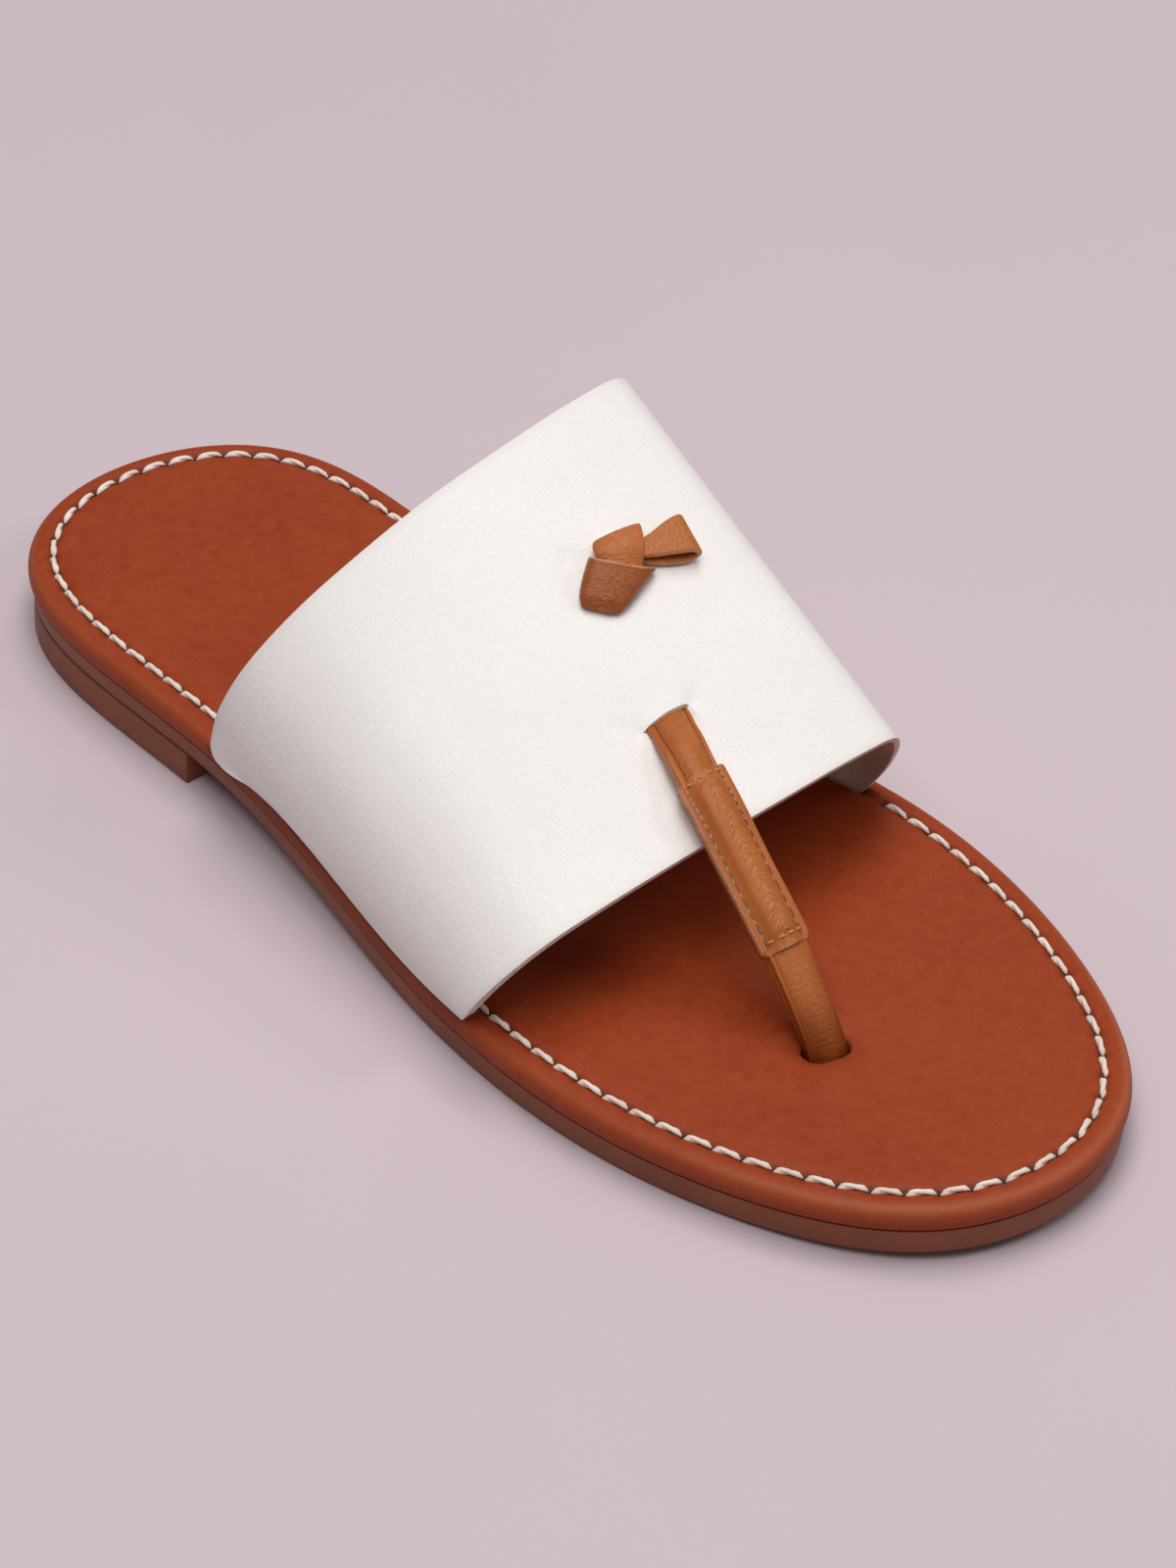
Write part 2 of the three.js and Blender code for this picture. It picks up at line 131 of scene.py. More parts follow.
def rimFrame(angle):
    step = 0.002
    dx = outlineX(angle + step) - outlineX(angle - step)
    ds = outlineStation(angle + step) - outlineStation(angle - step)
    norm = math.hypot(dx, ds)
    return outlineX(angle), outlineStation(angle), ds / norm, -dx / norm


def rimPoint(angle, inset):
    x, station, inX, inStation = rimFrame(angle)
    return x + inX * inset, station + inStation * inset


def footbedTop(station):
    ramp = smoothstep(sole["rampFrom"], sole["rampTo"], station)
    spring = max(0.0, (station - sole["springFrom"]) / (sole["length"] - sole["springFrom"]))
    return lerp(sole["heelTop"], sole["forefootTop"], ramp) + sole["toeSpring"] * spring ** 2


def plateTop(station):
    return footbedTop(station) - sole["footbedThick"]


def plateBottom(station):
    ramp = smoothstep(sole["rampFrom"], sole["rampTo"], station)
    return plateTop(station) - lerp(sole["plateThickHeel"], sole["plateThickFore"], ramp)


rimFrames = [rimFrame(2 * math.pi * i / sole["rimSteps"]) for i in range(sole["rimSteps"])]


def rimRing(inset, heightAt):
    ring = []
    for i, (x, station, inX, inStation) in enumerate(rimFrames):
        s = station + inStation * inset
        ring.append(placeAt(x + inX * inset, s, heightAt(i, s)))
    return ring


# Mesh helpers

class PieceMesh:
    def __init__(self):
        self.bm = bmesh.new()
        self.slot = self.bm.verts.layers.int.new("slot")
        self.row = self.bm.verts.layers.int.new("row")

    # carries a closed ring of points along, one extrusion for each next ring
    def loft(self, rings):
        bm = self.bm
        verts = bmesh.ops.create_circle(bm, segments=len(rings[0]), radius=1.0)["verts"]
        for i, v in enumerate(verts):
            v[self.slot] = i
            v.co = rings[0][i]
        loops = [verts]
        for k, ring in enumerate(rings[1:], 1):
            wanted = set(loops[-1])
            edges = [e for v in loops[-1] for e in v.link_edges if e.other_vert(v) in wanted]
            made = bmesh.ops.extrude_edge_only(bm, edges=list(set(edges)))["geom"]
            fresh = [g for g in made if isinstance(g, bmesh.types.BMVert)]
            fresh.sort(key=lambda v: v[self.slot])
            for v in fresh:
                v.co = ring[v[self.slot]]
                v[self.row] = k
            loops.append(fresh)
        return loops

    def fillRing(self, loop):
        edges = [self.bm.edges.get((loop[i - 1], loop[i])) for i in range(len(loop))]
        bmesh.ops.edgeloop_fill(self.bm, edges=edges)

    # a loft of outlines that stand on sections, each point with its place on the strip
    def loftSections(self, sections, outlines, firstRings=(), lastRings=()):
        strip = self.bm.verts.layers.float_vector.new("strip")
        rings = [sectionRing(section, outline) for section, outline in zip(sections, outlines)]
        loops = self.loft([*firstRings, *rings, *lastRings])
        for section, outline, loop in zip(sections, outlines, loops[len(firstRings):]):
            for (out, _), v in zip(outline, loop):
                v[strip] = Vector((out, section["length"], 0))
        return loops

    # closes a sole ring with strips from its medial to its lateral half, and gives the edges across
    def bridgeHalves(self, loop):
        bm = self.bm
        half = len(loop) // 2
        left = loop[1:half]
        right = [loop[len(loop) - i] for i in range(1, half)]
        edges = [bm.edges.get((side[i], side[i + 1])) for side in (left, right) for i in range(half - 2)]
        bmesh.ops.bridge_loops(bm, edges=edges)
        for tip, one, other in ((loop[0], loop[1], loop[-1]), (loop[half], loop[half - 1], loop[half + 1])):
            bmesh.ops.contextual_create(bm, geom=[tip, one, other])
        return [bm.edges.get((left[i], right[i])) for i in range(half - 1)]

    def segmentOf(self, face, count):
        slots = sorted({v[self.slot] for v in face.verts})
        return count - 1 if slots[0] == 0 and slots[-1] == count - 1 else slots[0]


def finishPiece(bm, name, materials, nodes=(), sharp=40.0, closed=True):
    if closed:
        bmesh.ops.recalc_face_normals(bm, faces=bm.faces[:])
    bmesh.ops.translate(bm, verts=bm.verts[:], vec=(-boxMiddleX, 0, 0))
    bmesh.ops.scale(bm, verts=bm.verts[:], vec=(mm, mm, mm))
    mesh = bpy.data.meshes.new(name)
    bm.to_mesh(mesh)
    bm.free()
    for material in materials:
        mesh.materials.append(material)
    mesh.shade_smooth()
    mesh.set_sharp_from_angle(angle=math.radians(sharp))
    piece = bpy.data.objects.new(name, mesh)
    bpy.context.scene.collection.objects.link(piece)
    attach(piece, "root")
    if nodes:
        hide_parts(*nodes)
    print(name, len(mesh.polygons), "faces")
    return piece


# Shader helpers

def plug(tree, node, inputs):
    for key, value in inputs.items():
        if isinstance(value, bpy.types.NodeSocket):
            tree.links.new(value, node.inputs[key])
        else:
            node.inputs[key].default_value = value


def addNode(tree, kind, inputs=None, **settings):
    node = tree.nodes.new("ShaderNode" + kind)
    for key, value in settings.items():
        setattr(node, key, value)
    plug(tree, node, inputs or {})
    return node


def calc(tree, operation, *values):
    return addNode(tree, "Math", dict(enumerate(values)), operation=operation).outputs[0]


def weigh(tree, first, firstShare, second, secondShare):
    parts = [calc(tree, "MULTIPLY", *pair) for pair in ((first, firstShare), (second, secondShare))]
    return calc(tree, "ADD", *parts)


def mixColour(tree, factor, first, second):
    return addNode(tree, "Mix", {0: factor, 6: first, 7: second}, data_type="RGBA").outputs[2]


# lays a second colour over the first, by a share of the mask
def tint(tree, colour, over, mask, share):
    return mixColour(tree, calc(tree, "MULTIPLY", mask, share), colour, over)


def remap(tree, value, low, high, newLow, newHigh):
    names = ("Value", "From Min", "From Max", "To Min", "To Max")
    return addNode(tree, "MapRange", dict(zip(names, (value, low, high, newLow, newHigh)))).outputs[0]


def newGroup(name, inputs, outputs):
    group = bpy.data.node_groups.new(name, "ShaderNodeTree")
    for label, kind, value in inputs:
        socket = group.interface.new_socket(label, in_out="INPUT", socket_type="NodeSocket" + kind)
        if value is not None:
            socket.default_value = value
    for label in outputs:
        group.interface.new_socket(label, in_out="OUTPUT", socket_type="NodeSocketFloat")
    start = group.nodes.new("NodeGroupInput")
    end = group.nodes.new("NodeGroupOutput")
    return group, start.outputs, end.inputs


# Pebbles of grain with fine pores between them
def grainGroup():
    group, given, put = newGroup(
        "leatherGrain",
        [("Vector", "Vector", None), ("Cells", "Float", 900.0), ("Stretch", "Float", 0.4)],
        ["Height", "Valley"],
    )
    loose = addNode(group, "TexNoise", {"Vector": given["Vector"], "Scale": 400.0, "Detail": 2.0})
    pull = addNode(group, "VectorMath", {0: loose.outputs["Color"], 1: (0.5, 0.5, 0.5)}, operation="SUBTRACT")
    reach = calc(group, "DIVIDE", given["Stretch"], given["Cells"])
    pulled = addNode(group, "VectorMath", {0: pull.outputs[0], "Scale": reach}, operation="SCALE")
    bent = addNode(group, "VectorMath", {0: given["Vector"], 1: pulled.outputs[0]}, operation="ADD")
    cells = addNode(
        group, "TexVoronoi", {"Vector": bent.outputs[0], "Scale": given["Cells"], "Smoothness": 0.7},
        feature="SMOOTH_F1",
    )
    pebble = addNode(
        group, "MapRange",
        {"Value": cells.outputs["Distance"], "From Min": 0.1, "From Max": 0.62, "To Min": 1.0, "To Max": 0.0},
        interpolation_type="SMOOTHSTEP",
    ).outputs[0]
    fineScale = calc(group, "MULTIPLY", given["Cells"], 2.7)
    fine = addNode(group, "TexNoise", {"Vector": given["Vector"], "Scale": fineScale, "Detail": 3.0})
    group.links.new(weigh(group, pebble, 0.7, fine.outputs[0], 0.5), put["Height"])
    group.links.new(calc(group, "SUBTRACT", 1.0, pebble), put["Valley"])
    return group


# Cloudy change of tone
def mottleGroup():
    group, given, put = newGroup(
        "mottle",
        [("Vector", "Vector", None), ("Scale", "Float", 40.0), ("Contrast", "Float", 1.0)],
        ["Tone"],
    )
    cloud = addNode(group, "TexNoise", {
        "Vector": given["Vector"], "Scale": given["Scale"],
        "Detail": 5.0, "Roughness": 0.6, "Distortion": 0.4,
    })
    centred = calc(group, "SUBTRACT", cloud.outputs[0], 0.5)
    spread = calc(group, "MULTIPLY", centred, calc(group, "MULTIPLY", given["Contrast"], 2.2))
    tone = addNode(group, "Clamp", {"Value": calc(group, "ADD", spread, 0.5)})
    group.links.new(tone.outputs[0], put["Tone"])
    return group


# Short fibres of a cut or brushed leather face
def fibreGroup():
    group, given, put = newGroup(
        "fibres", [("Vector", "Vector", None), ("Scale", "Float", 1500.0)], ["Height", "Tone"]
    )
    fine = addNode(group, "TexNoise", {
        "Vector": given["Vector"], "Scale": given["Scale"],
        "Detail": 6.0, "Roughness": 0.75, "Distortion": 1.2,
    })
    broadScale = calc(group, "MULTIPLY", given["Scale"], 0.16)
    broad = addNode(group, "TexNoise", {"Vector": given["Vector"], "Scale": broadScale, "Detail": 3.0})
    group.links.new(fine.outputs[0], put["Height"])
    group.links.new(weigh(group, fine.outputs[0], 0.6, broad.outputs[0], 0.4), put["Tone"])
    return group


leatherGrain = grainGroup()
mottle = mottleGroup()
fibres = fibreGroup()


# what the groups mostly put out
toneSpread = (0.3, 0.7)
grainSpread = (0.2, 1.0)


def grainAt(tree, spot, cells, stretch=0.8):
    inputs = {"Vector": spot, "Cells": cells, "Stretch": stretch}
    return addNode(tree, "Group", inputs, node_tree=leatherGrain).outputs


def cloudAt(tree, spot, scale, contrast):
    inputs = {"Vector": spot, "Scale": scale, "Contrast": contrast}
    return addNode(tree, "Group", inputs, node_tree=mottle).outputs["Tone"]


def fibresAt(tree, spot, scale):
    return addNode(tree, "Group", {"Vector": spot, "Scale": scale}, node_tree=fibres).outputs


def startMaterial(name):
    material = bpy.data.materials.new(name)
    material.use_nodes = True
    tree = material.node_tree
    tree.nodes.clear()
    output = addNode(tree, "OutputMaterial")
    shader = addNode(tree, "BsdfPrincipled")
    tree.links.new(shader.outputs[0], output.inputs["Surface"])
    spot = addNode(tree, "TexCoord").outputs["Object"]
    return material, tree, shader, spot


def bumpFrom(tree, height, deep, strength, before=None):
    inputs = {"Height": height, "Distance": deep * mm, "Strength": strength}
    if before is not None:
        inputs["Normal"] = before
    return addNode(tree, "Bump", inputs).outputs[0]


def readAttribute(tree, name, output="Fac"):
    return addNode(tree, "Attribute", attribute_type="GEOMETRY", attribute_name=name).outputs[output]


def linear(red, green, blue):
    parts = [c / 255 for c in (red, green, blue)]
    return tuple(c / 12.92 if c <= 0.04045 else ((c + 0.055) / 1.055) ** 2.4 for c in parts) + (1.0,)


# raw leather at a cut edge, its fibres in two tones
def cutMaterial(name, look, scale, rough, deep, strength, specular):
    material, tree, shader, spot = startMaterial(name)
    nap = fibresAt(tree, spot, scale)
    share = remap(tree, nap["Tone"], 0.35, 0.65, 0.0, 1.0)
    plug(tree, shader, {
        "Base Color": mixColour(tree, share, look["cutDark"], look["cut"]),
        "Roughness": remap(tree, nap["Tone"], *toneSpread, *rough),
        "Normal": bumpFrom(tree, nap["Height"], deep, strength),
        "Specular IOR Level": specular,
    })
    return material


# Outsole and heel rubber

rubberLook = {
    "base": linear(144, 80, 53),
    "dark": linear(120, 65, 43),
    "rough": (0.42, 0.58),
    "specular": 0.3,
    "ribPitch": 3.2,
    "ribDeep": 0.5,
}


def rubberMaterial():
    material, tree, shader, spot = startMaterial("soleRubber")
    cloud = cloudAt(tree, spot, scale=45.0, contrast=0.9)
    fine = fibresAt(tree, spot, scale=2600.0)
    # plain fine ribs across the walking faces
    along = addNode(tree, "SeparateXYZ", {0: spot}).outputs[1]
    wave = calc(tree, "SINE", calc(tree, "MULTIPLY", along, 2 * math.pi / (rubberLook["ribPitch"] * mm)))
    rib = calc(tree, "MULTIPLY", remap(tree, wave, -0.4, 0.4, 0.0, 1.0), readAttribute(tree, "tread"))
    ribbed = bumpFrom(tree, rib, deep=rubberLook["ribDeep"], strength=0.8)
    plug(tree, shader, {
        "Base Color": mixColour(tree, cloud, rubberLook["dark"], rubberLook["base"]),
        "Roughness": remap(tree, fine["Tone"], *toneSpread, *rubberLook["rough"]),
        "Normal": bumpFrom(tree, fine["Height"], deep=0.05, strength=0.5, before=ribbed),
        "Specular IOR Level": rubberLook["specular"],
    })
    return material


soleRubber = rubberMaterial()

outsole = {
    # inset and share of the height, from the walking face up
    "rows": (
        (3.2, 0.0), (1.9, 0.0), (1.4, 0.02), (1.05, 0.07), (0.85, 0.2),
        (0.7, 0.6), (0.58, 0.92), (0.64, 0.98), (0.95, 1.0),
    ),
    "cuts": 8,
}


def markTread(tread, loop):
    for v in loop:
        v[tread] = 1.0


def makeOutsole():
    shape = PieceMesh()
    tread = shape.bm.verts.layers.float.new("tread")
    rings = []
    for inset, share in outsole["rows"]:
        rings.append(rimRing(inset, lambda i, s: lerp(plateBottom(s), plateTop(s), share)))
    loops = shape.loft(rings)
    markTread(tread, loops[0])
    across = shape.bridgeHalves(loops[0]) + shape.bridgeHalves(loops[-1])
    bmesh.ops.subdivide_edges(shape.bm, edges=across, cuts=outsole["cuts"])
    finishPiece(shape.bm, "outsole_rubber", [soleRubber], ["outsole"])


makeOutsole()

heel = {
    "rows": ((2.6, 0.0), (1.1, 0.0), (0.75, 0.03), (0.55, 0.1), (0.6, 0.5), (0.85, 0.97), (1.05, 1.0)),
    "breastSoft": 0.6,
    "seam": 0.08,
}


def makeHeel():
    shape = PieceMesh()
    bm = shape.bm
    tread = bm.verts.layers.float.new("tread")
    height = plateBottom(0) - heel["seam"]
    rings = [rimRing(inset, lambda i, s: share * height) for inset, share in heel["rows"]]
    loops = shape.loft(rings)
    markTread(tread, loops[0])
    shape.bridgeHalves(loops[0])
    shape.bridgeHalves(loops[-1])
    breast = placeAt(0, sole["heelBreast"], 0)
    geom = bm.verts[:] + bm.edges[:] + bm.faces[:]
    cut = bmesh.ops.bisect_plane(bm, geom=geom, plane_co=breast, plane_no=(0, -1, 0), clear_outer=True)
    rim = [g for g in cut["geom_cut"] if isinstance(g, bmesh.types.BMEdge)]
    bmesh.ops.edgeloop_fill(bm, edges=rim)
    bmesh.ops.bevel(
        bm, geom=rim, offset=heel["breastSoft"], affect="EDGES", segments=2, profile=0.5, material=-1,
        clamp_overlap=True,
    )
    finishPiece(bm, "heel_rubber", [soleRubber], ["heel_block"])


makeHeel()


# Band surface: straight lines from its rear edge to its front edge

band = {
    "wall": 1.8,
    # the front edge is pared thinner on its inside, apart from the medial tip
    "pared": 0.35,
    "paredReach": 5.0,
    "paredAcross": (0.05, 0.3),
    "rimReach": 1.1,
    "softCut": {"width": 0.3, "segments": 2, "angle": 50.0},
    # the lateral end stands in a groove of the footbed
    "tuck": 2.6,
    "insetLateral": 4.2,
    # the medial end lies on the footbed's roll, low at the rear and high at the front
    "dropRear": 2.2,
    "dropFront": 0.9,
    "dropReach": (0.0, 0.35),
    "proudRear": 0.5,
    "proudFront": 0.28,
    "cornerRadius": 5.0,
    # the medial rear corner is loose and hangs outside the footbed
    "cornerHang": (-0.9, -1.1, -0.1),
    "hangAcross": 0.14,
    "hangAlong": (1.0, 10.0),
    # soft creases at the slit's ends and beside the knot: from and to as across and along, depth, width
    "creases": (
        ((0.583, 0.709), (0.600, 0.688), 0.6, 1.2),
        ((0.584, 0.719), (0.598, 0.750), 0.4, 1.2),
        ((0.529, 0.709), (0.520, 0.672), 0.6, 1.2),
        ((0.527, 0.724), (0.522, 0.800), 0.45, 1.5),
        ((0.574, 0.292), (0.549, 0.353), 0.55, 1.3),
    ),
    "creaseFade": 0.6,
    "creaseLeast": 0.005,
    "acrossSteps": 216,
    "alongSteps": 88,
    # rear x and z, front x and z, from the medial rim over to the lateral rim
    "rows": (
        (-35.9, 12.9, -47.5, 7.6),
        (-37.4, 19.0, -49.1, 13.0),
        (-38.2, 27.0, -48.2, 18.5),
        (-35.7, 37.0, -45.0, 23.8),
        (-27.8, 46.8, -38.9, 28.6),
        (-16.0, 54.4, -28.0, 31.3),
        (-2.0, 60.6, -11.0, 33.4),
        (14.0, 64.2, 8.0, 34.5),
        (30.0, 66.4, 26.0, 34.8),
        (42.2, 65.6, 36.8, 33.0),
        (48.6, 58.0, 42.4, 27.0),
        (45.5, 36.0, 46.4, 17.0),
        (33.6, 12.9, 46.6, 7.6),
    ),
    "rear": {"station": 77.0, "baseZ": 12.0, "lean": 0.45, "skew": 0.06, "skewX": -36.0},
    "front": {"station": 158.5, "baseZ": 9.0, "lean": 0.57, "skew": 0.0, "skewX": 0.0},
}


def bandEdge(edge, column):
    points = []
    for row in band["rows"]:
        x, z = row[column], row[column + 1]
        station = edge["station"] + edge["lean"] * (z - edge["baseZ"]) - edge["skew"] * (x - edge["skewX"])
        points.append(placeAt(x, station, z))
    return curveThrough(points)


rearCurve = bandEdge(band["rear"], 0)
frontCurve = bandEdge(band["front"], 2)


def bandFace(across, along):
    return rearCurve(across) * (1 - along) + frontCurve(across) * along


def bandNormal(across, along):
    step = 0.002
    over = bandFace(min(1, across + step), along) - bandFace(max(0, across - step), along)
    forward = bandFace(across, along + step) - bandFace(across, along - step)
    return forward.cross(over).normalized()


def onBand(across, along, lift):
    return bandFace(across, along) + bandNormal(across, along) * lift


def bandDrop(along):
    return lerp(band["dropRear"], band["dropFront"], smoothstep(*band["dropReach"], along))


def rollInset(drop):
    rows = footbed["rollRows"]
    for (inset, low), (nextInset, high) in zip(rows, rows[1:]):
        if high <= drop <= low:
            return lerp(inset, nextInset, (low - drop) / (low - high))
    return rows[0][0]


def bandEnd(end, along):
    station = stationOf(bandFace(end, along))
    angle = math.acos(1 - 2 * station / sole["length"])
    if end == 0:
        drop = bandDrop(along)
        x, _ = rimPoint(angle, rollInset(drop) - lerp(band["proudRear"], band["proudFront"], along))
    else:
        drop = band["tuck"]
        x, _ = rimPoint(-angle, band["insetLateral"])
    return placeAt(x, station, footbedTop(station) - drop)


def creaseDepth(point):
    depth = 0.0
    for start, end, deep, wide in creaseLines:
        run = end - start
        share = min(1, max(0, (point - start).dot(run) / run.length_squared))
        away = (point - start - run * share).length
        depth += deep * (1 - band["creaseFade"] * share) * bell(away, wide)
    return depth


creaseLines = [(bandFace(*start), bandFace(*end), deep, wide) for start, end, deep, wide in band["creases"]]

# where the medial and the lateral end begin and stop
bandStations = [(stationOf(bandFace(end, 0)), stationOf(bandFace(end, 1))) for end in (0, 1)]


# share of a place that the band's end covers, with a soft start and stop
def underBand(end, station, soft):
    rear, front = bandStations[end]
    return smoothstep(-1, soft, station - rear) * smoothstep(-1, soft, front - station)


def bandRear(across):
    end = 0 if across < 0.5 else 1
    reach = (rearCurve(across) - rearCurve(end)).length
    radius = band["cornerRadius"]
    short = max(0.0, radius - reach)
    back = radius - math.sqrt(radius ** 2 - short ** 2)
    return back / (rearCurve(across) - frontCurve(across)).length


# Footbed leather with its rolled edge, stitch channel and toe hole

footbed = {
    # inset and drop from the underside over the roll and the channel to the flat top
    "rollRows": (
        (1.05, 4.9), (0.42, 4.55), (0.05, 3.2), (0.25, 1.8), (1.0, 0.7), (2.3, 0.1),
        (3.5, 0.2), (4.8, 0.7), (6.4, 0.15), (11.0, 0.0),
    ),
    "stepsPerRow": 4,
    "cuts": 72,
    "channelInset": 4.8,
    "stitchPitch": 5.4,
    "channelSteps": 2400,
    # the leather rises between the stitches and sinks at their ends
    "pucker": 0.3,
    "puckerReach": 1.3,
    "puckerLong": 0.16,
    "puckerRise": 0.35,
    "grooveEase": 0.25,
    "hole": {
        "x": -8.1, "station": 203.4, "long": 8.8, "wide": 5.6, "turn": 18.0,
        "soft": 0.6, "dip": 0.6, "dipReach": 2.6, "deep": 4.2,
        "patch": 13.0, "patchCuts": 3, "reach": 12.0, "topSlack": 1.5,
        # painted shade inside the hole and round its rim
        "shade": 0.9, "shadeSoft": (-0.3, 0.9), "rimShade": 0.3, "rimReach": 1.0,
    },
    # darker in the stitch channel, painted shade at the needle holes and along the band, painted highlight on
    # the roll towards the toe
    "shade": {
        "channel": 0.25, "channelReach": 0.9, "needleShade": 0.85, "needleShadeLong": 0.13,
        "tuck": 0.8, "tuckReach": 0.5, "tuckInset": 1.2, "under": 0.35,
        "highlightInset": 0.95, "highlightReach": 0.8, "highlightHeel": 0.45, "highlightToe": (190.0, 240.0),
    },
    "base": linear(155, 60, 23),
    "dark": linear(138, 48, 15),
    "glow": linear(170, 80, 42),
    # colour of the painted highlight on the roll
    "rollHighlightColour": linear(178, 98, 64),
    "channelAndShadeColour": linear(58, 22, 12),
}


def channelLengths():
    steps = footbed["channelSteps"]
    spots = [rimPoint(2 * math.pi * i / steps, footbed["channelInset"]) for i in range(steps + 1)]
    lengths = [0.0]
    for (x0, s0), (x1, s1) in zip(spots, spots[1:]):
        lengths.append(lengths[-1] + math.hypot(x1 - x0, s1 - s0))
    return lengths


channelLength = channelLengths()
stitchCount = round(channelLength[-1] / footbed["stitchPitch"])


def stitchPhase(angle):
    spot = (angle / (2 * math.pi)) % 1 * (len(channelLength) - 1)
    i = min(int(spot), len(channelLength) - 2)
    length = lerp(channelLength[i], channelLength[i + 1], spot - i)
    return length / channelLength[-1] * stitchCount


def holeDistance(x, station):
    hole = footbed["hole"]
    turn = math.radians(hole["turn"])
    dx, dy = x - hole["x"], hole["station"] - station
    along = dx * math.cos(turn) - dy * math.sin(turn)
    side = dx * math.sin(turn) + dy * math.cos(turn)
    straight = (hole["long"] - hole["wide"]) / 2
    return math.hypot(max(abs(along) - straight, 0.0), side) - hole["wide"] / 2


def footbedMaterial():
    material, tree, shader, spot = startMaterial("footbedLeather")
    cloud = cloudAt(tree, spot, scale=22.0, contrast=1.1)
    small = cloudAt(tree, spot, scale=420.0, contrast=1.2)
    grain = grainAt(tree, spot, cells=1500.0)
    colour = mixColour(tree, cloud, footbed["dark"], footbed["base"])
    colour = tint(tree, colour, footbed["glow"], small, share=0.4)
    colour = tint(tree, colour, footbed["dark"], grain["Valley"], share=0.25)
    # painted shade in the toe hole, at the needle holes and beside the band's end, over a darker stitch
    # channel
    colour = mixColour(tree, readAttribute(tree, "channelAndShade"), colour, footbed["channelAndShadeColour"])
    # painted highlight on the roll, strongest towards the toe
    colour = tint(tree, colour, footbed["rollHighlightColour"], readAttribute(tree, "rollHighlight"), share=0.6)
    soft = bumpFrom(tree, cloud, deep=0.25, strength=0.35)
    plug(tree, shader, {
        "Base Color": colour,
        "Roughness": remap(tree, calc(tree, "ADD", small, grain["Valley"]), 0.2, 1.6, 0.46, 0.6),
        "Normal": bumpFrom(tree, grain["Height"], deep=0.035, strength=0.6, before=soft),
        "Specular IOR Level": 0.2,
    })
    return material


footbedLeather = footbedMaterial()


rollProfile = curveThrough([Vector((inset, drop, 0)) for inset, drop in footbed["rollRows"]])
rollSteps = (len(footbed["rollRows"]) - 1) * footbed["stepsPerRow"]
rollSpots = [rollProfile(k / rollSteps) for k in range(rollSteps + 1)]
rimPhases = [stitchPhase(2 * math.pi * i / sole["rimSteps"]) for i in range(sole["rimSteps"])]
needleAway = [phase - round(phase) for phase in rimPhases]


def footbedRing(inset, drop, onTop):
    grooveFrom = band["insetLateral"] - footbed["grooveEase"]
    grooveTo = band["insetLateral"] + band["wall"] + footbed["grooveEase"]
    pucker = footbed["pucker"] * bell(inset - footbed["channelInset"], footbed["puckerReach"])

    def heightAt(i, station):
        fall = drop + pucker * (bell(needleAway[i], footbed["puckerLong"]) - footbed["puckerRise"])
        if onTop and grooveFrom < inset < grooveTo and i >= sole["rimSteps"] / 2:
            deep = max(fall, band["tuck"] + footbed["grooveEase"])
            fall = lerp(fall, deep, underBand(1, station, 0))
        return footbedTop(station) - fall

    return rimRing(inset, heightAt)


# how dark the painted shade is beside the band's end, along the medial roll or in the lateral groove
def tuckShade(end, station, inset, drop, onTop):
    shade = footbed["shade"]
    if end == 0:
        rear, front = bandStations[0]
        beside = drop - bandDrop(min(1, max(0, (station - rear) / (front - rear))))
        below = shade["under"] * (beside > 0)
        near = inset < shade["tuckInset"]
    else:
        beside, below, near = inset - band["insetLateral"], 0, onTop
    if not near:
        return 0
    return underBand(end, station, 1) * (shade["tuck"] * bell(beside, shade["tuckReach"]) + below)


def sinkHole(bm, channelAndShade, rollHighlight):
    hole = footbed["hole"]
    middle = placeAt(hole["x"], hole["station"], 0)
    topFrom = sole["forefootTop"] - hole["topSlack"]
    middles = [(f, f.calc_center_median()) for f in bm.faces]
    patch = {f for f, c in middles if c.z > topFrom and (c.xy - middle.xy).length < hole["patch"]}
    edges = [e for e in bm.edges if patch.intersection(e.link_faces)]
    bmesh.ops.subdivide_edges(bm, edges=edges, cuts=hole["patchCuts"], use_grid_fill=True)
    for v in bm.verts:
        away = holeDistance(v.co.x, stationOf(v.co))
        if away < hole["reach"] and v.co.z > topFrom:
            v.co.z -= hole["dip"] * (1 if away < 0 else bell(away, hole["dipReach"]))
            v.co.z -= hole["deep"] * smoothstep(0, hole["soft"], -away)
            # painted shade inside the toe hole and round its rim
            inside = hole["shade"] * smoothstep(*hole["shadeSoft"], -away)
            v[channelAndShade] = max(inside, hole["rimShade"] * bell(max(away, 0), hole["rimReach"]))
            v[rollHighlight] = 0


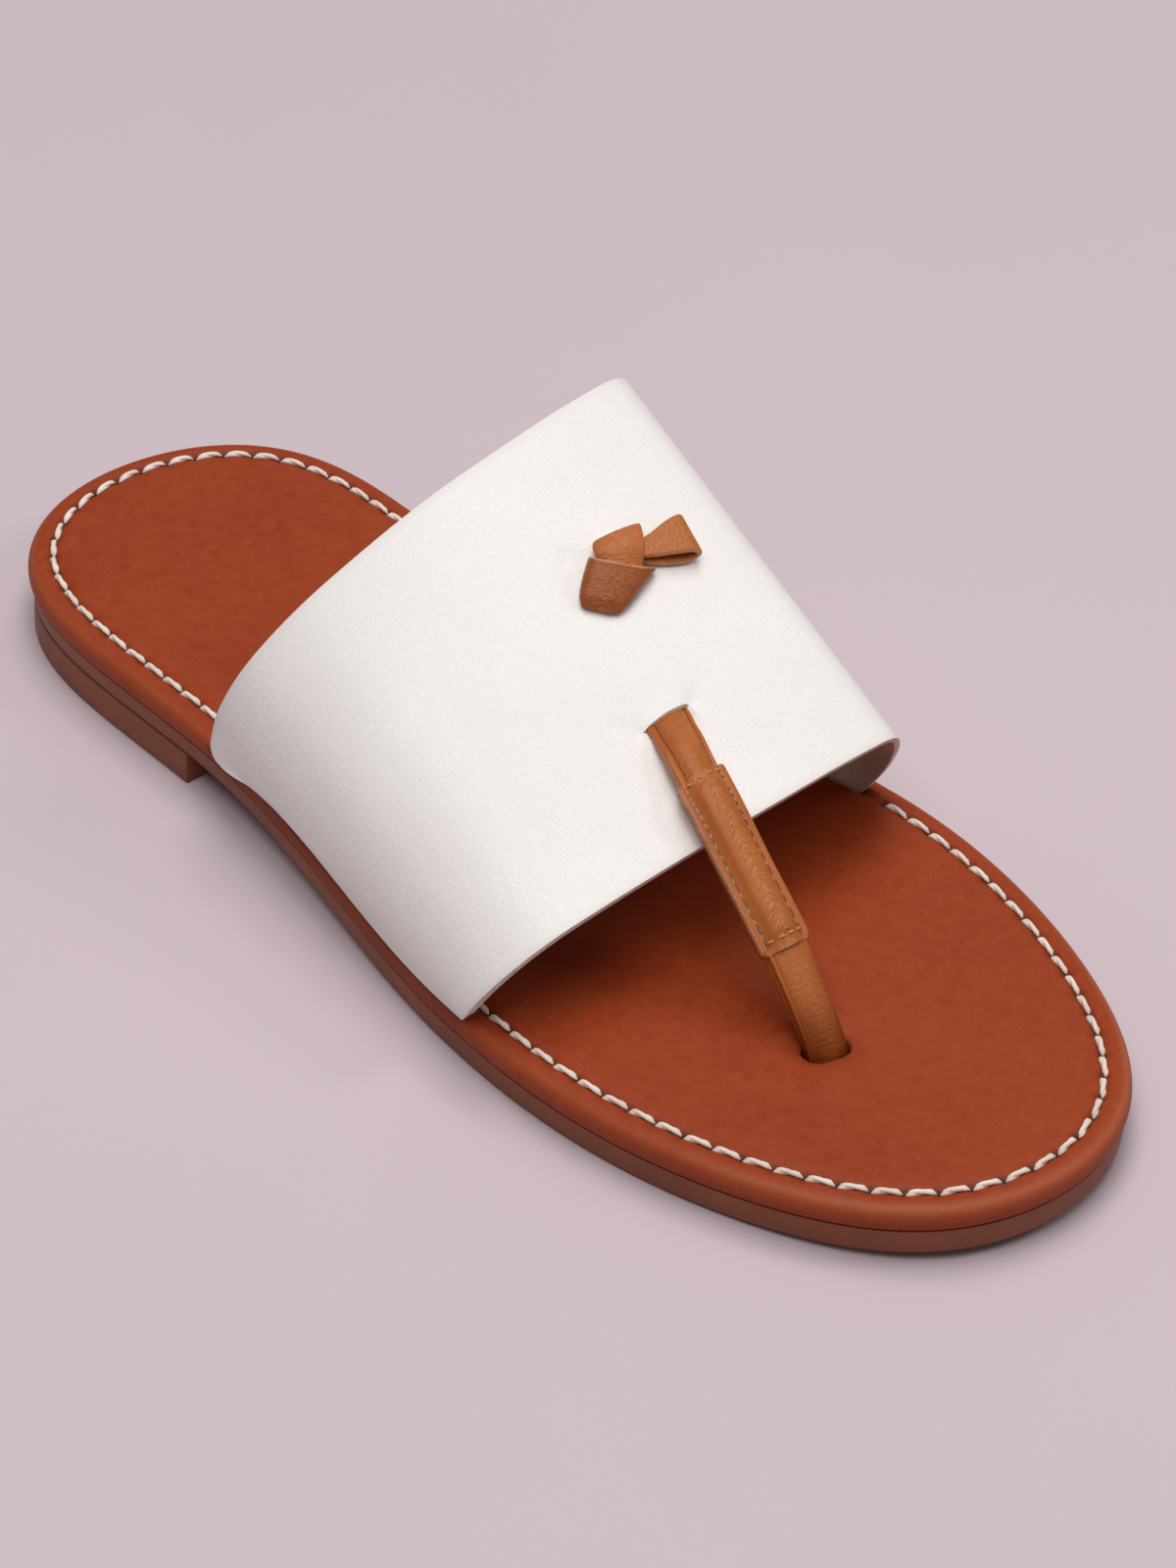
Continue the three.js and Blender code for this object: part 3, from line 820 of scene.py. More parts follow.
def makeFootbed():
    shape = PieceMesh()
    bm = shape.bm
    shade = footbed["shade"]
    channelAndShade = bm.verts.layers.float.new("channelAndShade")
    rollHighlight = bm.verts.layers.float.new("rollHighlight")
    onTop = [k > 3 * footbed["stepsPerRow"] for k in range(rollSteps + 1)]
    onRoll = [k > 2 * footbed["stepsPerRow"] for k in range(rollSteps + 1)]
    loops = shape.loft([footbedRing(inset, drop, top) for (inset, drop, _), top in zip(rollSpots, onTop)])
    for k, (inset, drop, _) in enumerate(rollSpots):
        channel = bell(inset - footbed["channelInset"], shade["channelReach"]) if onTop[k] else 0
        # glow is the mask of the painted highlight on the roll
        glow = bell(inset - shade["highlightInset"], shade["highlightReach"]) if onRoll[k] else 0
        for i, v in enumerate(loops[k]):
            station = stationOf(v.co)
            end = 0 if i < sole["rimSteps"] / 2 else 1
            # darker stitch channel, with painted shade at the needle holes and beside the band's end
            channelAndNeedleShade = channel * (shade["needleShade"] * bell(needleAway[i], shade["needleShadeLong"]) + shade["channel"])
            v[channelAndShade] = max(channelAndNeedleShade, tuckShade(end, station, inset, drop, onTop[k]))
            v[rollHighlight] = glow * lerp(shade["highlightHeel"], 1.0, smoothstep(*shade["highlightToe"], station))
    shape.bridgeHalves(loops[0])
    across = shape.bridgeHalves(loops[-1])
    bmesh.ops.subdivide_edges(bm, edges=across, cuts=footbed["cuts"])
    sinkHole(bm, channelAndShade, rollHighlight)
    finishPiece(bm, "footbed_leather", [footbedLeather], ["footbed"], sharp=70)


makeFootbed()


# Cream stitches of two twisted plies round the footbed

stitch = {
    "ply": 0.46,
    "tip": 0.35,
    "lay": 0.17,
    "turns": 0.6,
    "plies": 2,
    "share": 0.92,
    "sides": 6,
    "rings": 7,
    "sink": 0.5,
    "arch": 0.7,
    # degrees, and how they change from stitch to stitch
    "slant": 5.0,
    "slantWave": 2.5,
    "slantTurn": 2.4,
    # no stitch shows so far in front of the band's lateral end
    "coverPast": 5.0,
    "searchSteps": 4800,
    "searchReach": 0.01,
}


def threadMaterial(name, base, dark, scale):
    material, tree, shader, spot = startMaterial(name)
    cloud = cloudAt(tree, spot, scale=120.0, contrast=1.2)
    fine = fibresAt(tree, spot, scale)
    plug(tree, shader, {
        "Base Color": tint(tree, base, dark, fine["Tone"], cloud),
        "Roughness": remap(tree, fine["Tone"], *toneSpread, 0.55, 0.8),
        "Normal": bumpFrom(tree, fine["Height"], deep=0.08, strength=0.7),
        "Sheen Weight": 0.2,
    })
    return material


creamThread = threadMaterial("creamThread", linear(244, 230, 218), linear(204, 178, 158), scale=3000.0)
tanThread = threadMaterial("tanThread", linear(204, 142, 86), linear(126, 72, 34), scale=3400.0)


# one stitch along +X, its top towards +Z, made of plies that wind round each other
def stitchMesh(length, thread):
    shape = PieceMesh()
    rings, sides, plies = thread["rings"], thread["sides"], thread["plies"]
    spokes = [2 * math.pi * i / sides for i in range(sides)]
    for p in range(plies):
        plyRings = []
        for k in range(rings + 1):
            t = k / rings
            turn = 2 * math.pi * (thread["turns"] * t + p / plies)
            fall = (2 * t - 1) ** 4
            swell = (1 - fall) ** 0.5
            lay = thread["lay"] * swell
            high = lay * math.sin(turn) - thread["arch"] * fall
            middle = Vector(((t - 0.5) * length, lay * math.cos(turn), high))
            radius = thread["ply"] * lerp(thread["tip"], 1.0, swell)
            plyRings.append([middle + Vector((0, math.cos(a), math.sin(a))) * radius for a in spokes])
        loops = shape.loft(plyRings)
        shape.fillRing(loops[0])
        shape.fillRing(loops[-1])
    bmesh.ops.recalc_face_normals(shape.bm, faces=shape.bm.faces[:])
    mesh = bpy.data.meshes.new("stitchPattern")
    shape.bm.to_mesh(mesh)
    shape.bm.free()
    return mesh


def stampAt(bm, pattern, middle, forward, up):
    before = len(bm.verts)
    bm.from_mesh(pattern)
    bm.verts.ensure_lookup_table()
    side = up.cross(forward).normalized()
    up = forward.cross(side).normalized()
    turned = Matrix((forward.normalized(), side, up)).transposed().to_4x4()
    bmesh.ops.transform(bm, matrix=Matrix.Translation(middle) @ turned, verts=bm.verts[before:])


def makeSoleStitches():
    inset = footbed["channelInset"]
    pattern = stitchMesh(channelLength[-1] / stitchCount * stitch["share"], stitch)
    bm = bmesh.new()
    angles = [2 * math.pi * i / stitch["searchSteps"] for i in range(stitch["searchSteps"])]
    phases = [stitchPhase(angle) for angle in angles]
    depth = dict(footbed["rollRows"])[inset] - stitch["sink"]
    rear, front = bandStations[1]
    at = 0
    for n in range(stitchCount):
        while at < len(angles) - 1 and phases[at] < n + 0.5:
            at += 1
        x, station = rimPoint(angles[at], inset)
        # the band's lateral end lies over the seam and hides these stitches
        if angles[at] > math.pi and rear < station < front + stitch["coverPast"]:
            continue
        ends = [rimPoint(angles[at] + way * stitch["searchReach"], inset) for way in (-1, 1)]
        before, after = (placeAt(endX, endStation, footbedTop(endStation)) for endX, endStation in ends)
        slant = math.radians(stitch["slant"] + stitch["slantWave"] * math.sin(n * stitch["slantTurn"]))
        forward = Matrix.Rotation(slant, 3, "Z") @ (after - before)
        stampAt(bm, pattern, placeAt(x, station, footbedTop(station) - depth), forward, Vector((0, 0, 1)))
    bpy.data.meshes.remove(pattern)
    finishPiece(bm, "sole_stitches", [creamThread], sharp=80)


makeSoleStitches()


# Band leather: grained face, brushed inside and raw cut edge

bandLook = {
    "white": linear(248, 245, 243),
    "warm": linear(239, 233, 230),
    "valley": linear(222, 214, 208),
    "suede": linear(238, 220, 204),
    "suedeDark": linear(206, 182, 162),
    "cut": linear(236, 224, 214),
    "cutDark": linear(200, 184, 172),
}

slit = {
    "across": 0.5562,
    "along": 0.711,
    "half": 4.9,
    "lift": 1.35,
    "liftReach": 2.4,
    "dip": 1.9,
    "dipReach": 4.6,
    "pullBack": 0.3,
    "pullReach": 2.0,
    "liftSpread": 0.95,
    # how far the slit moves the leather, in half slits to each side and in mm
    "reachAcross": 3.0,
    "reachAlong": 20.0,
}


def bandMaterials():
    outer, tree, shader, spot = startMaterial("bandLeather")
    cloud = cloudAt(tree, spot, scale=18.0, contrast=0.8)
    grain = grainAt(tree, spot, cells=2000.0)
    broad = grainAt(tree, spot, cells=1050.0, stretch=0.9)
    colour = mixColour(tree, cloud, bandLook["warm"], bandLook["white"])
    colour = tint(tree, colour, bandLook["valley"], grain["Valley"], share=0.28)
    colour = tint(tree, colour, bandLook["valley"], readAttribute(tree, "rimNear"), share=0.5)
    low = bumpFrom(tree, broad["Height"], deep=0.06, strength=0.5)
    plug(tree, shader, {
        "Base Color": colour,
        "Roughness": remap(tree, grain["Height"], *grainSpread, 0.64, 0.52),
        "Normal": bumpFrom(tree, grain["Height"], deep=0.04, strength=0.6, before=low),
        "Specular IOR Level": 0.3,
    })

    inside, tree, shader, spot = startMaterial("bandSuede")
    nap = fibresAt(tree, spot, scale=1400.0)
    tone = calc(tree, "MULTIPLY", nap["Tone"], cloudAt(tree, spot, scale=70.0, contrast=1.3))
    share = remap(tree, tone, 0.1, 0.45, 0.0, 1.0)
    plug(tree, shader, {
        "Base Color": mixColour(tree, share, bandLook["suedeDark"], bandLook["suede"]),
        "Roughness": remap(tree, nap["Tone"], *toneSpread, 0.85, 0.98),
        "Normal": bumpFrom(tree, nap["Height"], deep=0.2, strength=0.8),
        "Sheen Weight": 0.25,
        "Specular IOR Level": 0.15,
    })
    cut = cutMaterial(
        "bandCutEdge", bandLook, scale=2200.0, rough=(0.8, 0.95), deep=0.16, strength=0.9, specular=0.2
    )
    return outer, inside, cut


# the surface with its ends drawn to the footbed, its loose corner and its creases
def bandPoint(across, along, fromRear):
    point = bandFace(across, along)
    fit = max(0.0, 1 - min(across, 1 - across) * (len(band["rows"]) - 1))
    if fit > 0:
        end = 0 if across < 0.5 else 1
        point += (bandEnd(end, along) - bandFace(end, along)) * fit ** 2
    hang = 1 - smoothstep(0.0, band["hangAcross"], across)
    hang *= 1 - smoothstep(*band["hangAlong"], fromRear)
    point += Vector(band["cornerHang"]) * hang
    trough = creaseDepth(point)
    if trough > band["creaseLeast"]:
        point -= bandNormal(across, along) * trough
    return point


slitRow = round(slit["along"] * band["alongSteps"])


# half of the slit as a share of the band's way across
def slitShare():
    step = 0.01
    before, after = (bandFace(slit["across"] + way * step, slit["along"]) for way in (-1, 1))
    return slit["half"] * 2 * step / (after - before).length


slitHalf = slitShare()


# the strap comes up through the slit: its rear lip is raised and its front lip pressed down
def slitMove(normal, side, behind, rear, onLine):
    inside = max(0.0, 1 - side * side)
    if not rear:
        return normal * -slit["dip"] * inside ** 0.5 * bell(behind, slit["dipReach"])
    spread = 0 if onLine and abs(side) >= 1 else bell(side, slit["liftSpread"])
    lift = normal * slit["lift"] * spread * math.exp(-behind / slit["liftReach"])
    return lift + Vector((0, 1, 0)) * slit["pullBack"] * inside * bell(behind, slit["pullReach"])


# a flat grid that knows its columns and rows, parted along the slit
def makeBandGrid(bm):
    columnLayer = bm.verts.layers.int.new("gridColumn")
    rowLayer = bm.verts.layers.int.new("gridRow")
    acrossSteps, alongSteps = band["acrossSteps"], band["alongSteps"]
    bmesh.ops.create_grid(bm, x_segments=acrossSteps, y_segments=alongSteps, size=0.5)
    grid = {}
    for v in bm.verts:
        v[columnLayer] = round((v.co.x + 0.5) * acrossSteps)
        v[rowLayer] = round((v.co.y + 0.5) * alongSteps)
        grid[v[columnLayer], v[rowLayer]] = v
    first, last = (round((slit["across"] + way * slitHalf) * acrossSteps) for way in (-1, 1))
    parting = [bm.edges.get((grid[i, slitRow], grid[i + 1, slitRow])) for i in range(first, last)]
    bmesh.ops.split_edges(bm, edges=parting)
    return columnLayer, rowLayer


def addBandWall(piece):
    wall = piece.modifiers.new("wall", "SOLIDIFY")
    wall.vertex_group = piece.vertex_groups.new(name="wallShare").name
    wall.thickness = band["wall"] * mm
    wall.offset = -1
    wall.use_even_offset = True
    wall.material_offset = 1
    wall.material_offset_rim = 2
    soft = piece.modifiers.new("softCut", "BEVEL")
    soft.width = band["softCut"]["width"] * mm
    soft.segments = band["softCut"]["segments"]
    soft.limit_method = "ANGLE"
    soft.angle_limit = math.radians(band["softCut"]["angle"])


def makeBand():
    bm = bmesh.new()
    rimNear = bm.verts.layers.float.new("rimNear")
    wallShare = bm.verts.layers.deform.verify()
    columnLayer, rowLayer = makeBandGrid(bm)
    slitLine = slitRow / band["alongSteps"]
    spots = {}
    for v in bm.verts:
        across, share = v[columnLayer] / band["acrossSteps"], v[rowLayer] / band["alongSteps"]
        along = lerp(bandRear(across), 1.0, share)
        length = (rearCurve(across) - frontCurve(across)).length
        point = bandPoint(across, along, share * length)
        pared = band["pared"] * smoothstep(*band["paredAcross"], across)
        v[wallShare][0] = 1 - pared * bell((1 - share) * length, band["paredReach"])
        v[rimNear] = bell(min(share, 1 - share) * length, band["rimReach"])
        side = (across - slit["across"]) / slitHalf
        behind = (slitLine - share) * length
        if abs(side) < slit["reachAcross"] and abs(behind) < slit["reachAlong"]:
            onLine = v[rowLayer] == slitRow
            rear = behind > 0
            if onLine:
                rear = all(f.calc_center_median().y < slitLine - 0.5 for f in v.link_faces)
            point += slitMove(bandNormal(across, along), side, behind, rear, onLine)
        spots[v] = point
    for v in bm.verts:
        v.co = spots[v]
    bmesh.ops.reverse_faces(bm, faces=bm.faces[:])  # the grid was made facing the foot
    materials = bandMaterials()
    piece = finishPiece(bm, "band_leather", materials, ["upper_band"], sharp=80, closed=False)
    addBandWall(piece)


makeBand()


# Strap leather

strapLook = {
    "base": linear(188, 106, 44),
    "dark": linear(162, 84, 30),
    # pale colour of the painted highlight on the wrinkles' ridges
    "glow": linear(220, 150, 92),
    "cut": linear(206, 150, 112),
    "cutDark": linear(158, 98, 68),
    # painted shade, for the strap's run down to the toe hole and for the knot's fold
    "shadeBrown": linear(128, 52, 10),
    "seam": linear(74, 36, 16),
    # wrinkles in mm, with their fade from the middle to the sides and the strength of the painted highlight
    # on their ridges
    "wrinkles": {
        "strapLeather": {
            "pitch": 0.6, "long": 0.9, "slope": 0.3, "wobble": 0.6,
            "reach": 3.4, "outer": 0.2, "deep": 0.1, "ridgeHighlight": 0.14,
        },
        "sleeveLeather": {
            "pitch": 0.6, "long": 1.6, "slope": 0.85, "wobble": 0.5,
            "reach": 2.2, "outer": 0.1, "deep": 0.24, "ridgeHighlight": 0.5,
        },
        "knotLeather": {
            "pitch": 0.5, "long": 1.1, "slope": 0.2, "wobble": 0.7,
            "reach": 5.0, "outer": 0.4, "deep": 0.14, "ridgeHighlight": 0.25,
        },
    },
}


def strapMaterial(name, wrinkle):
    material, tree, shader, spot = startMaterial(name)
    cloud = cloudAt(tree, spot, scale=60.0, contrast=1.2)
    grain = grainAt(tree, spot, cells=2400.0)
    # fine wrinkles that run out to both sides from the middle, as on a sleeve pulled over a padded strap
    strip = addNode(tree, "SeparateXYZ", {0: readAttribute(tree, "strip", "Vector")}).outputs
    aside = calc(tree, "ABSOLUTE", strip[0])
    run = calc(tree, "SUBTRACT", strip[1], calc(tree, "MULTIPLY", aside, wrinkle["slope"]))
    pulled = addNode(tree, "CombineXYZ", {
        0: calc(tree, "DIVIDE", strip[0], wrinkle["long"]), 1: calc(tree, "DIVIDE", run, wrinkle["pitch"]),
    }).outputs[0]
    crease = addNode(tree, "TexNoise", {
        "Vector": pulled, "Scale": 1.0, "Detail": 2.0, "Roughness": 0.55, "Distortion": wrinkle["wobble"],
    }).outputs[0]
    fade = remap(tree, aside, 0.0, wrinkle["reach"], 1.0, wrinkle["outer"])
    wrinkled = calc(tree, "MULTIPLY", remap(tree, crease, 0.3, 0.7, 0.0, 1.0), fade)
    colour = mixColour(tree, cloud, strapLook["dark"], strapLook["base"])
    colour = tint(tree, colour, strapLook["dark"], grain["Valley"], share=0.2)
    # painted shade: darker towards the toe hole, where the strap faces down away from the light, and over the
    # whole fold
    colour = mixColour(tree, readAttribute(tree, "paintedShade"), colour, strapLook["shadeBrown"])
    # painted highlight on the wrinkles' ridges, strongest along the middle
    colour = tint(tree, colour, strapLook["glow"], wrinkled, share=wrinkle["ridgeHighlight"])
    colour = mixColour(tree, readAttribute(tree, "seam"), colour, strapLook["seam"])
    pebbled = bumpFrom(tree, grain["Height"], deep=0.035, strength=0.6)
    plug(tree, shader, {
        "Base Color": colour,
        "Roughness": remap(tree, grain["Height"], *grainSpread, 0.48, 0.34),
        "Normal": bumpFrom(tree, wrinkled, deep=wrinkle["deep"], strength=0.9, before=pebbled),
        "Specular IOR Level": 0.36,
    })
    return material


strapLeather, sleeveLeather, knotLeather = (
    strapMaterial(name, wrinkle) for name, wrinkle in strapLook["wrinkles"].items()
)
strapCut = cutMaterial(
    "strapCutEdge", strapLook, scale=2600.0, rough=(0.65, 0.85), deep=0.1, strength=0.8, specular=0.5
)

strap = {
    # place on the band, lift of the upper face, width and thickness
    "onBand": (
        (0.568, 0.56, -2.3, 8.4, 1.6),
        (0.562, 0.64, -2.3, 8.8, 1.6),
        (0.558, 0.69, -1.1, 9.0, 1.8),
        (0.555, 0.725, 0.7, 9.0, 2.0),
        (0.549, 0.768, 2.4, 8.8, 2.1),
        (0.545, 0.806, 3.7, 8.6, 2.6),
        (0.538, 0.888, 4.6, 8.2, 2.6),
        (0.533, 0.977, 4.6, 8.0, 2.6),
    ),
    # x, station, z, width, thickness and turn from the band's front edge down into the footbed
    "free": (
        (-5.1, 181.1, 32.9, 7.8, 2.8, 0),
        (-6.7, 192.5, 24.2, 7.6, 3.0, 5),
        (-7.9, 200.3, 16.6, 7.2, 3.2, 12),
        (-8.2, 204.2, 10.4, 6.9, 3.4, 18),
        (-8.3, 205.0, 7.6, 6.9, 3.4, 18),
    ),
    "stepsPerRow": 9,
    "crown": 0.35,
    "toeCrown": 0.55,
    "shoulder": 0.45,
    "groove": 0.18,
    # width of the flat edges, lateral and medial
    "flanges": ((1, 0.75), (-1, 1.25)),
    "flangeFade": 0.25,
    "seam": 0.5,
    "seamFade": 0.8,
    # painted shade towards the toe hole
    "paintedShade": 0.95,
    # shares of the length over which these change, and up to which the cut sides show
    "crownFrom": (0.76, 0.88),
    "flangeFrom": (0.5, 0.85),
    "seamFrom": (0.7, 0.8),
    "shadeFrom": (0.72, 0.95),
    "cutTo": 0.74,
    # points of the outline: seams between the layers, seams on top, and the segments that are cut sides
    "layerSlots": (5, 25),
    "topSlots": (11, 19),
    "cutSegments": (3, 4, 5, 6, 23, 24, 25, 26),
}
sleeve = {
    "from": 0.495, "to": 0.75, "steps": 64, "flange": 1.1, "flat": -0.35, "plies": 1.0, "under": 0.8,
    "endHigh": 0.95, "crown": 1.65, "endFlat": 1.5, "endRise": 3.2, "corner": 0.9, "cornerPress": 0.97,
    # the inside: ply, room round the strap, and how points pressed together stay apart
    "ply": 0.3, "ease": 0.15, "crownEase": 0.05, "bodyEase": 0.35, "innerShare": 0.98, "apart": 0.03,
    "layerSeam": 0.6, "layerSlots": (7, 25), "topSeam": 0.8, "topSlots": (12, 20), "seamEnd": 1.2,
    "cutSegments": (4, 5, 6, 7, 8, 9, 22, 23, 24, 25, 26, 27),
}

strapRows = [
    {"point": onBand(a, b, lift), "width": w, "thick": t, "turn": 0.0} for a, b, lift, w, t in strap["onBand"]
] + [
    {"point": placeAt(x, s, z), "width": w, "thick": t, "turn": turn} for x, s, z, w, t, turn in strap["free"]
]


def strapSide(turn):
    return Vector((math.cos(math.radians(turn)), -math.sin(math.radians(turn)), 0))


# values between two rows of a list
def between(rows, t, keys):
    spot = t * (len(rows) - 1)
    k = min(int(spot), len(rows) - 2)
    return [lerp(rows[k][key], rows[k + 1][key], spot - k) for key in keys]


def sectionsAlong(rows, sideAt, steps, first=0.0, last=1.0):
    curve = curveThrough([row["point"] for row in rows])
    sections = []
    length = 0.0
    for i in range(steps + 1):
        t = lerp(first, last, i / steps)
        tangent = (curve(min(1, t + 1e-4)) - curve(max(0, t - 1e-4))).normalized()
        width, thick, turn = between(rows, t, ("width", "thick", "turn"))
        side = sideAt(turn)
        origin = curve(t)
        if sections:
            length += (origin - sections[-1]["origin"]).length
        sections.append({
            "origin": origin, "side": side, "up": tangent.cross(side).normalized(), "tangent": tangent,
            "width": width, "thick": thick, "length": length, "share": t,
        })
    return sections


def sectionRing(section, outline):
    return [section["origin"] + section["side"] * out + section["up"] * high for out, high in outline]


# from the middle of the underside over the edge, its layers and its groove to the crown, and back
def strapOutline(section):
    half, thick = section["width"] / 2, section["thick"]
    crown = strap["crown"] + strap["toeCrown"] * smoothstep(*strap["crownFrom"], section["share"])
    edge = strap["shoulder"]
    fade = 1 - (1 - strap["flangeFade"]) * smoothstep(*strap["flangeFrom"], section["share"])
    outline = [(0.0, -thick)]
    for side, flange in strap["flanges"]:
        groove = half - flange * fade - strap["groove"]
        run = [
            (half - 0.7, -thick), (half - 0.15, -0.94 * thick), (half, -0.82 * thick),
            (half, -0.62 * thick), (half - 0.14, -0.57 * thick), (half, -0.52 * thick),
            (half, -edge - 0.28), (half - 0.06, -edge - 0.1), (half - 0.22, -edge),
            (groove + 0.18, -edge + 0.02), (groove, -edge - 0.14), (groove - 0.25, -edge + 0.16),
            (groove - 0.9, -0.05), (half * 0.38, crown * 0.86),
        ]
        run = [(side * out, high) for out, high in run]
        outline += run if side == 1 else [(0.0, crown)] + run[::-1]
    return outline


def makeStrap():
    shape = PieceMesh()
    bm = shape.bm
    seam = bm.verts.layers.float.new("seam")
    paintedShade = bm.verts.layers.float.new("paintedShade")
    steps = (len(strapRows) - 1) * strap["stepsPerRow"]
    sections = sectionsAlong(strapRows, strapSide, steps)
    outlines = [strapOutline(section) for section in sections]
    loops = shape.loftSections(sections, outlines)
    for section, loop in zip(sections, loops):
        for slot in strap["layerSlots"]:
            loop[slot][seam] = strap["seam"]
        faded = strap["seamFade"] * smoothstep(*strap["seamFrom"], section["share"])
        for slot in strap["topSlots"]:
            loop[slot][seam] = strap["seam"] * (1 - faded)
        for v in loop:
            # painted shade towards the toe hole
            v[paintedShade] = strap["paintedShade"] * smoothstep(*strap["shadeFrom"], section["share"])
    shape.fillRing(loops[0])
    shape.fillRing(loops[-1])
    for face in bm.faces:
        behind = min(v[shape.row] for v in face.verts) < steps * strap["cutTo"]
        segment = shape.segmentOf(face, len(outlines[0]))
        if behind and len(face.verts) == 4 and segment in strap["cutSegments"]:
            face.material_index = 1
    finishPiece(bm, "strap_leather", [strapLeather, strapCut], ["toe_strap"], sharp=60)


makeStrap()


# from the middle of the underside up the body and out along the flange to its seam and the crown, and back
def sleeveOutline(section, rise, corner=0.0):
    half = section["width"] / 2 + sleeve["flange"]
    body = section["width"] / 2 + sleeve["bodyEase"]
    low = -section["thick"] - sleeve["under"]
    flat, plies = sleeve["flat"], sleeve["plies"]
    crown = lerp(sleeve["endHigh"], sleeve["crown"], rise)
    right = [
        (body - 0.5, low), (body, low + 0.5), (body, flat - plies - 0.25), (half - 0.25, flat - plies - 0.1),
        (half, flat - plies + 0.05), (half, flat - 0.6 * plies), (half - 0.14, flat - 0.5 * plies),
        (half, flat - 0.4 * plies), (half, flat - 0.15), (half - 0.15, flat), (half - 1.0, flat + 0.02),
        (half - 1.35, flat - 0.1), (half - 1.75, flat + 0.18), (half - 2.4, lerp(flat + 0.65, 0.75, rise)),
        (half * 0.4, crown * 0.88),
    ]
    right = [(out - sleeve["cornerPress"] * max(0.0, out - half + corner), high) for out, high in right]
    left = [(-out, high) for out, high in reversed(right)]
    return [(0.0, low)] + right + [(0.0, crown)] + left


def keptWithin(value, low, high):
    inside = min(max(value, low), high)
    return inside + sleeve["apart"] * (value - inside)


def sleeveInner(section):
    half, thick = section["width"] / 2 + sleeve["ease"], section["thick"] + sleeve["ease"]
    top = strap["crown"] + sleeve["crownEase"]
    ring = []
    for out, high in sleeveOutline(section, 0.0):
        under = high - sleeve["ply"] if high > sleeve["flat"] - sleeve["ply"] else high
        ring.append((keptWithin(sleeve["innerShare"] * out, -half, half), keptWithin(under, -thick, top)))
    return ring


def makeSleeve():
    shape = PieceMesh()
    bm = shape.bm
    seam = bm.verts.layers.float.new("seam")
    sections = sectionsAlong(strapRows, strapSide, sleeve["steps"], sleeve["from"], sleeve["to"])
    total = sections[-1]["length"]
    fromEnds = [min(section["length"], total - section["length"]) for section in sections]
    outlines = []
    for section, fromEnd in zip(sections, fromEnds):
        short = max(0.0, 1 - fromEnd / sleeve["corner"])
        corner = sleeve["corner"] * (1 - math.sqrt(1 - short ** 2))
        rise = smoothstep(sleeve["endFlat"], sleeve["endRise"], fromEnd)
        outlines.append(sleeveOutline(section, rise, corner))
    first, last = ([sectionRing(section, sleeveInner(section))] for section in (sections[0], sections[-1]))
    loops = shape.loftSections(sections, outlines, first, last)
    for fromEnd, loop in zip(fromEnds, loops[1:-1]):
        for slot in sleeve["layerSlots"]:
            loop[slot][seam] = sleeve["layerSeam"]
        for slot in sleeve["topSlots"]:
            loop[slot][seam] = sleeve["topSeam"] if fromEnd > sleeve["seamEnd"] else 0.0
    count = len(outlines[0])
    for face in bm.faces:
        ends = {v[shape.row] for v in face.verts}
        if shape.segmentOf(face, count) in sleeve["cutSegments"] or 0 in ends or len(loops) - 1 in ends:
            face.material_index = 1
    mouths = (loops[0], loops[-1])
    edges = [bm.edges.get((loop[i - 1], loop[i])) for loop in mouths for i in range(count)]
    bmesh.ops.bridge_loops(bm, edges=edges)
    finishPiece(bm, "sleeve_leather", [sleeveLeather, strapCut], ["strap_sleeve"], sharp=60)
    return sections, outlines


sleeveSections, sleeveOutlines = makeSleeve()

sleeveThread = {
    "pitch": 2.0, "share": 0.72, "ply": 0.25, "tip": 0.35, "lay": 0.0, "turns": 0.0, "plies": 1, "rings": 6,
    "sides": 6, "arch": 0.22, "inset": 1.35, "sink": 0.14, "endLift": 0.04, "topSlots": (10, 23),
}


def sleeveSpot(length, out):
    total = sleeveSections[-1]["length"]
    spot = min(max(length / total, 0), 1) * (len(sleeveSections) - 1)
    k = min(int(round(spot)), len(sleeveSections) - 1)
    section, outline = sleeveSections[k], sleeveOutlines[k]
    top = sorted(outline[slice(*sleeveThread["topSlots"])])
    high = top[0][1]
    for (o0, h0), (o1, h1) in zip(top, top[1:]):
        if o0 <= out <= o1:
            high = lerp(h0, h1, (out - o0) / max(o1 - o0, 1e-6))
    if out > top[-1][0]:
        high = top[-1][1]
    return section["origin"] + section["side"] * out + section["up"] * high, section


def makeSleeveStitches():
    pattern = stitchMesh(sleeveThread["pitch"] * sleeveThread["share"], sleeveThread)
    bm = bmesh.new()
    total = sleeveSections[-1]["length"]
    inset = sleeveThread["inset"]
    steps = round((total - 2 * inset) / sleeveThread["pitch"])
    for side in (-1, 1):
        for n in range(steps):
            length = inset + (total - 2 * inset) * (n + 0.5) / steps
            _, section = sleeveSpot(length, 0)
            out = side * (section["width"] / 2 + sleeve["flange"] - inset)
            spot, section = sleeveSpot(length, out)
            spot -= section["up"] * sleeveThread["sink"]
            stampAt(bm, pattern, spot, section["tangent"], section["up"])
    for length in (inset, total - inset):
        _, section = sleeveSpot(length, 0)
        half = section["width"] / 2 + sleeve["flange"] - inset
        count = round(2 * half / sleeveThread["pitch"])
        for n in range(count):
            spot, section = sleeveSpot(length, -half + 2 * half * (n + 0.5) / count)
            spot += section["up"] * sleeveThread["endLift"]
            stampAt(bm, pattern, spot, section["side"], section["up"])
    bpy.data.meshes.remove(pattern)
    finishPiece(bm, "sleeve_stitches", [tanThread], sharp=80)


makeSleeveStitches()


# Knot of the same leather on the band

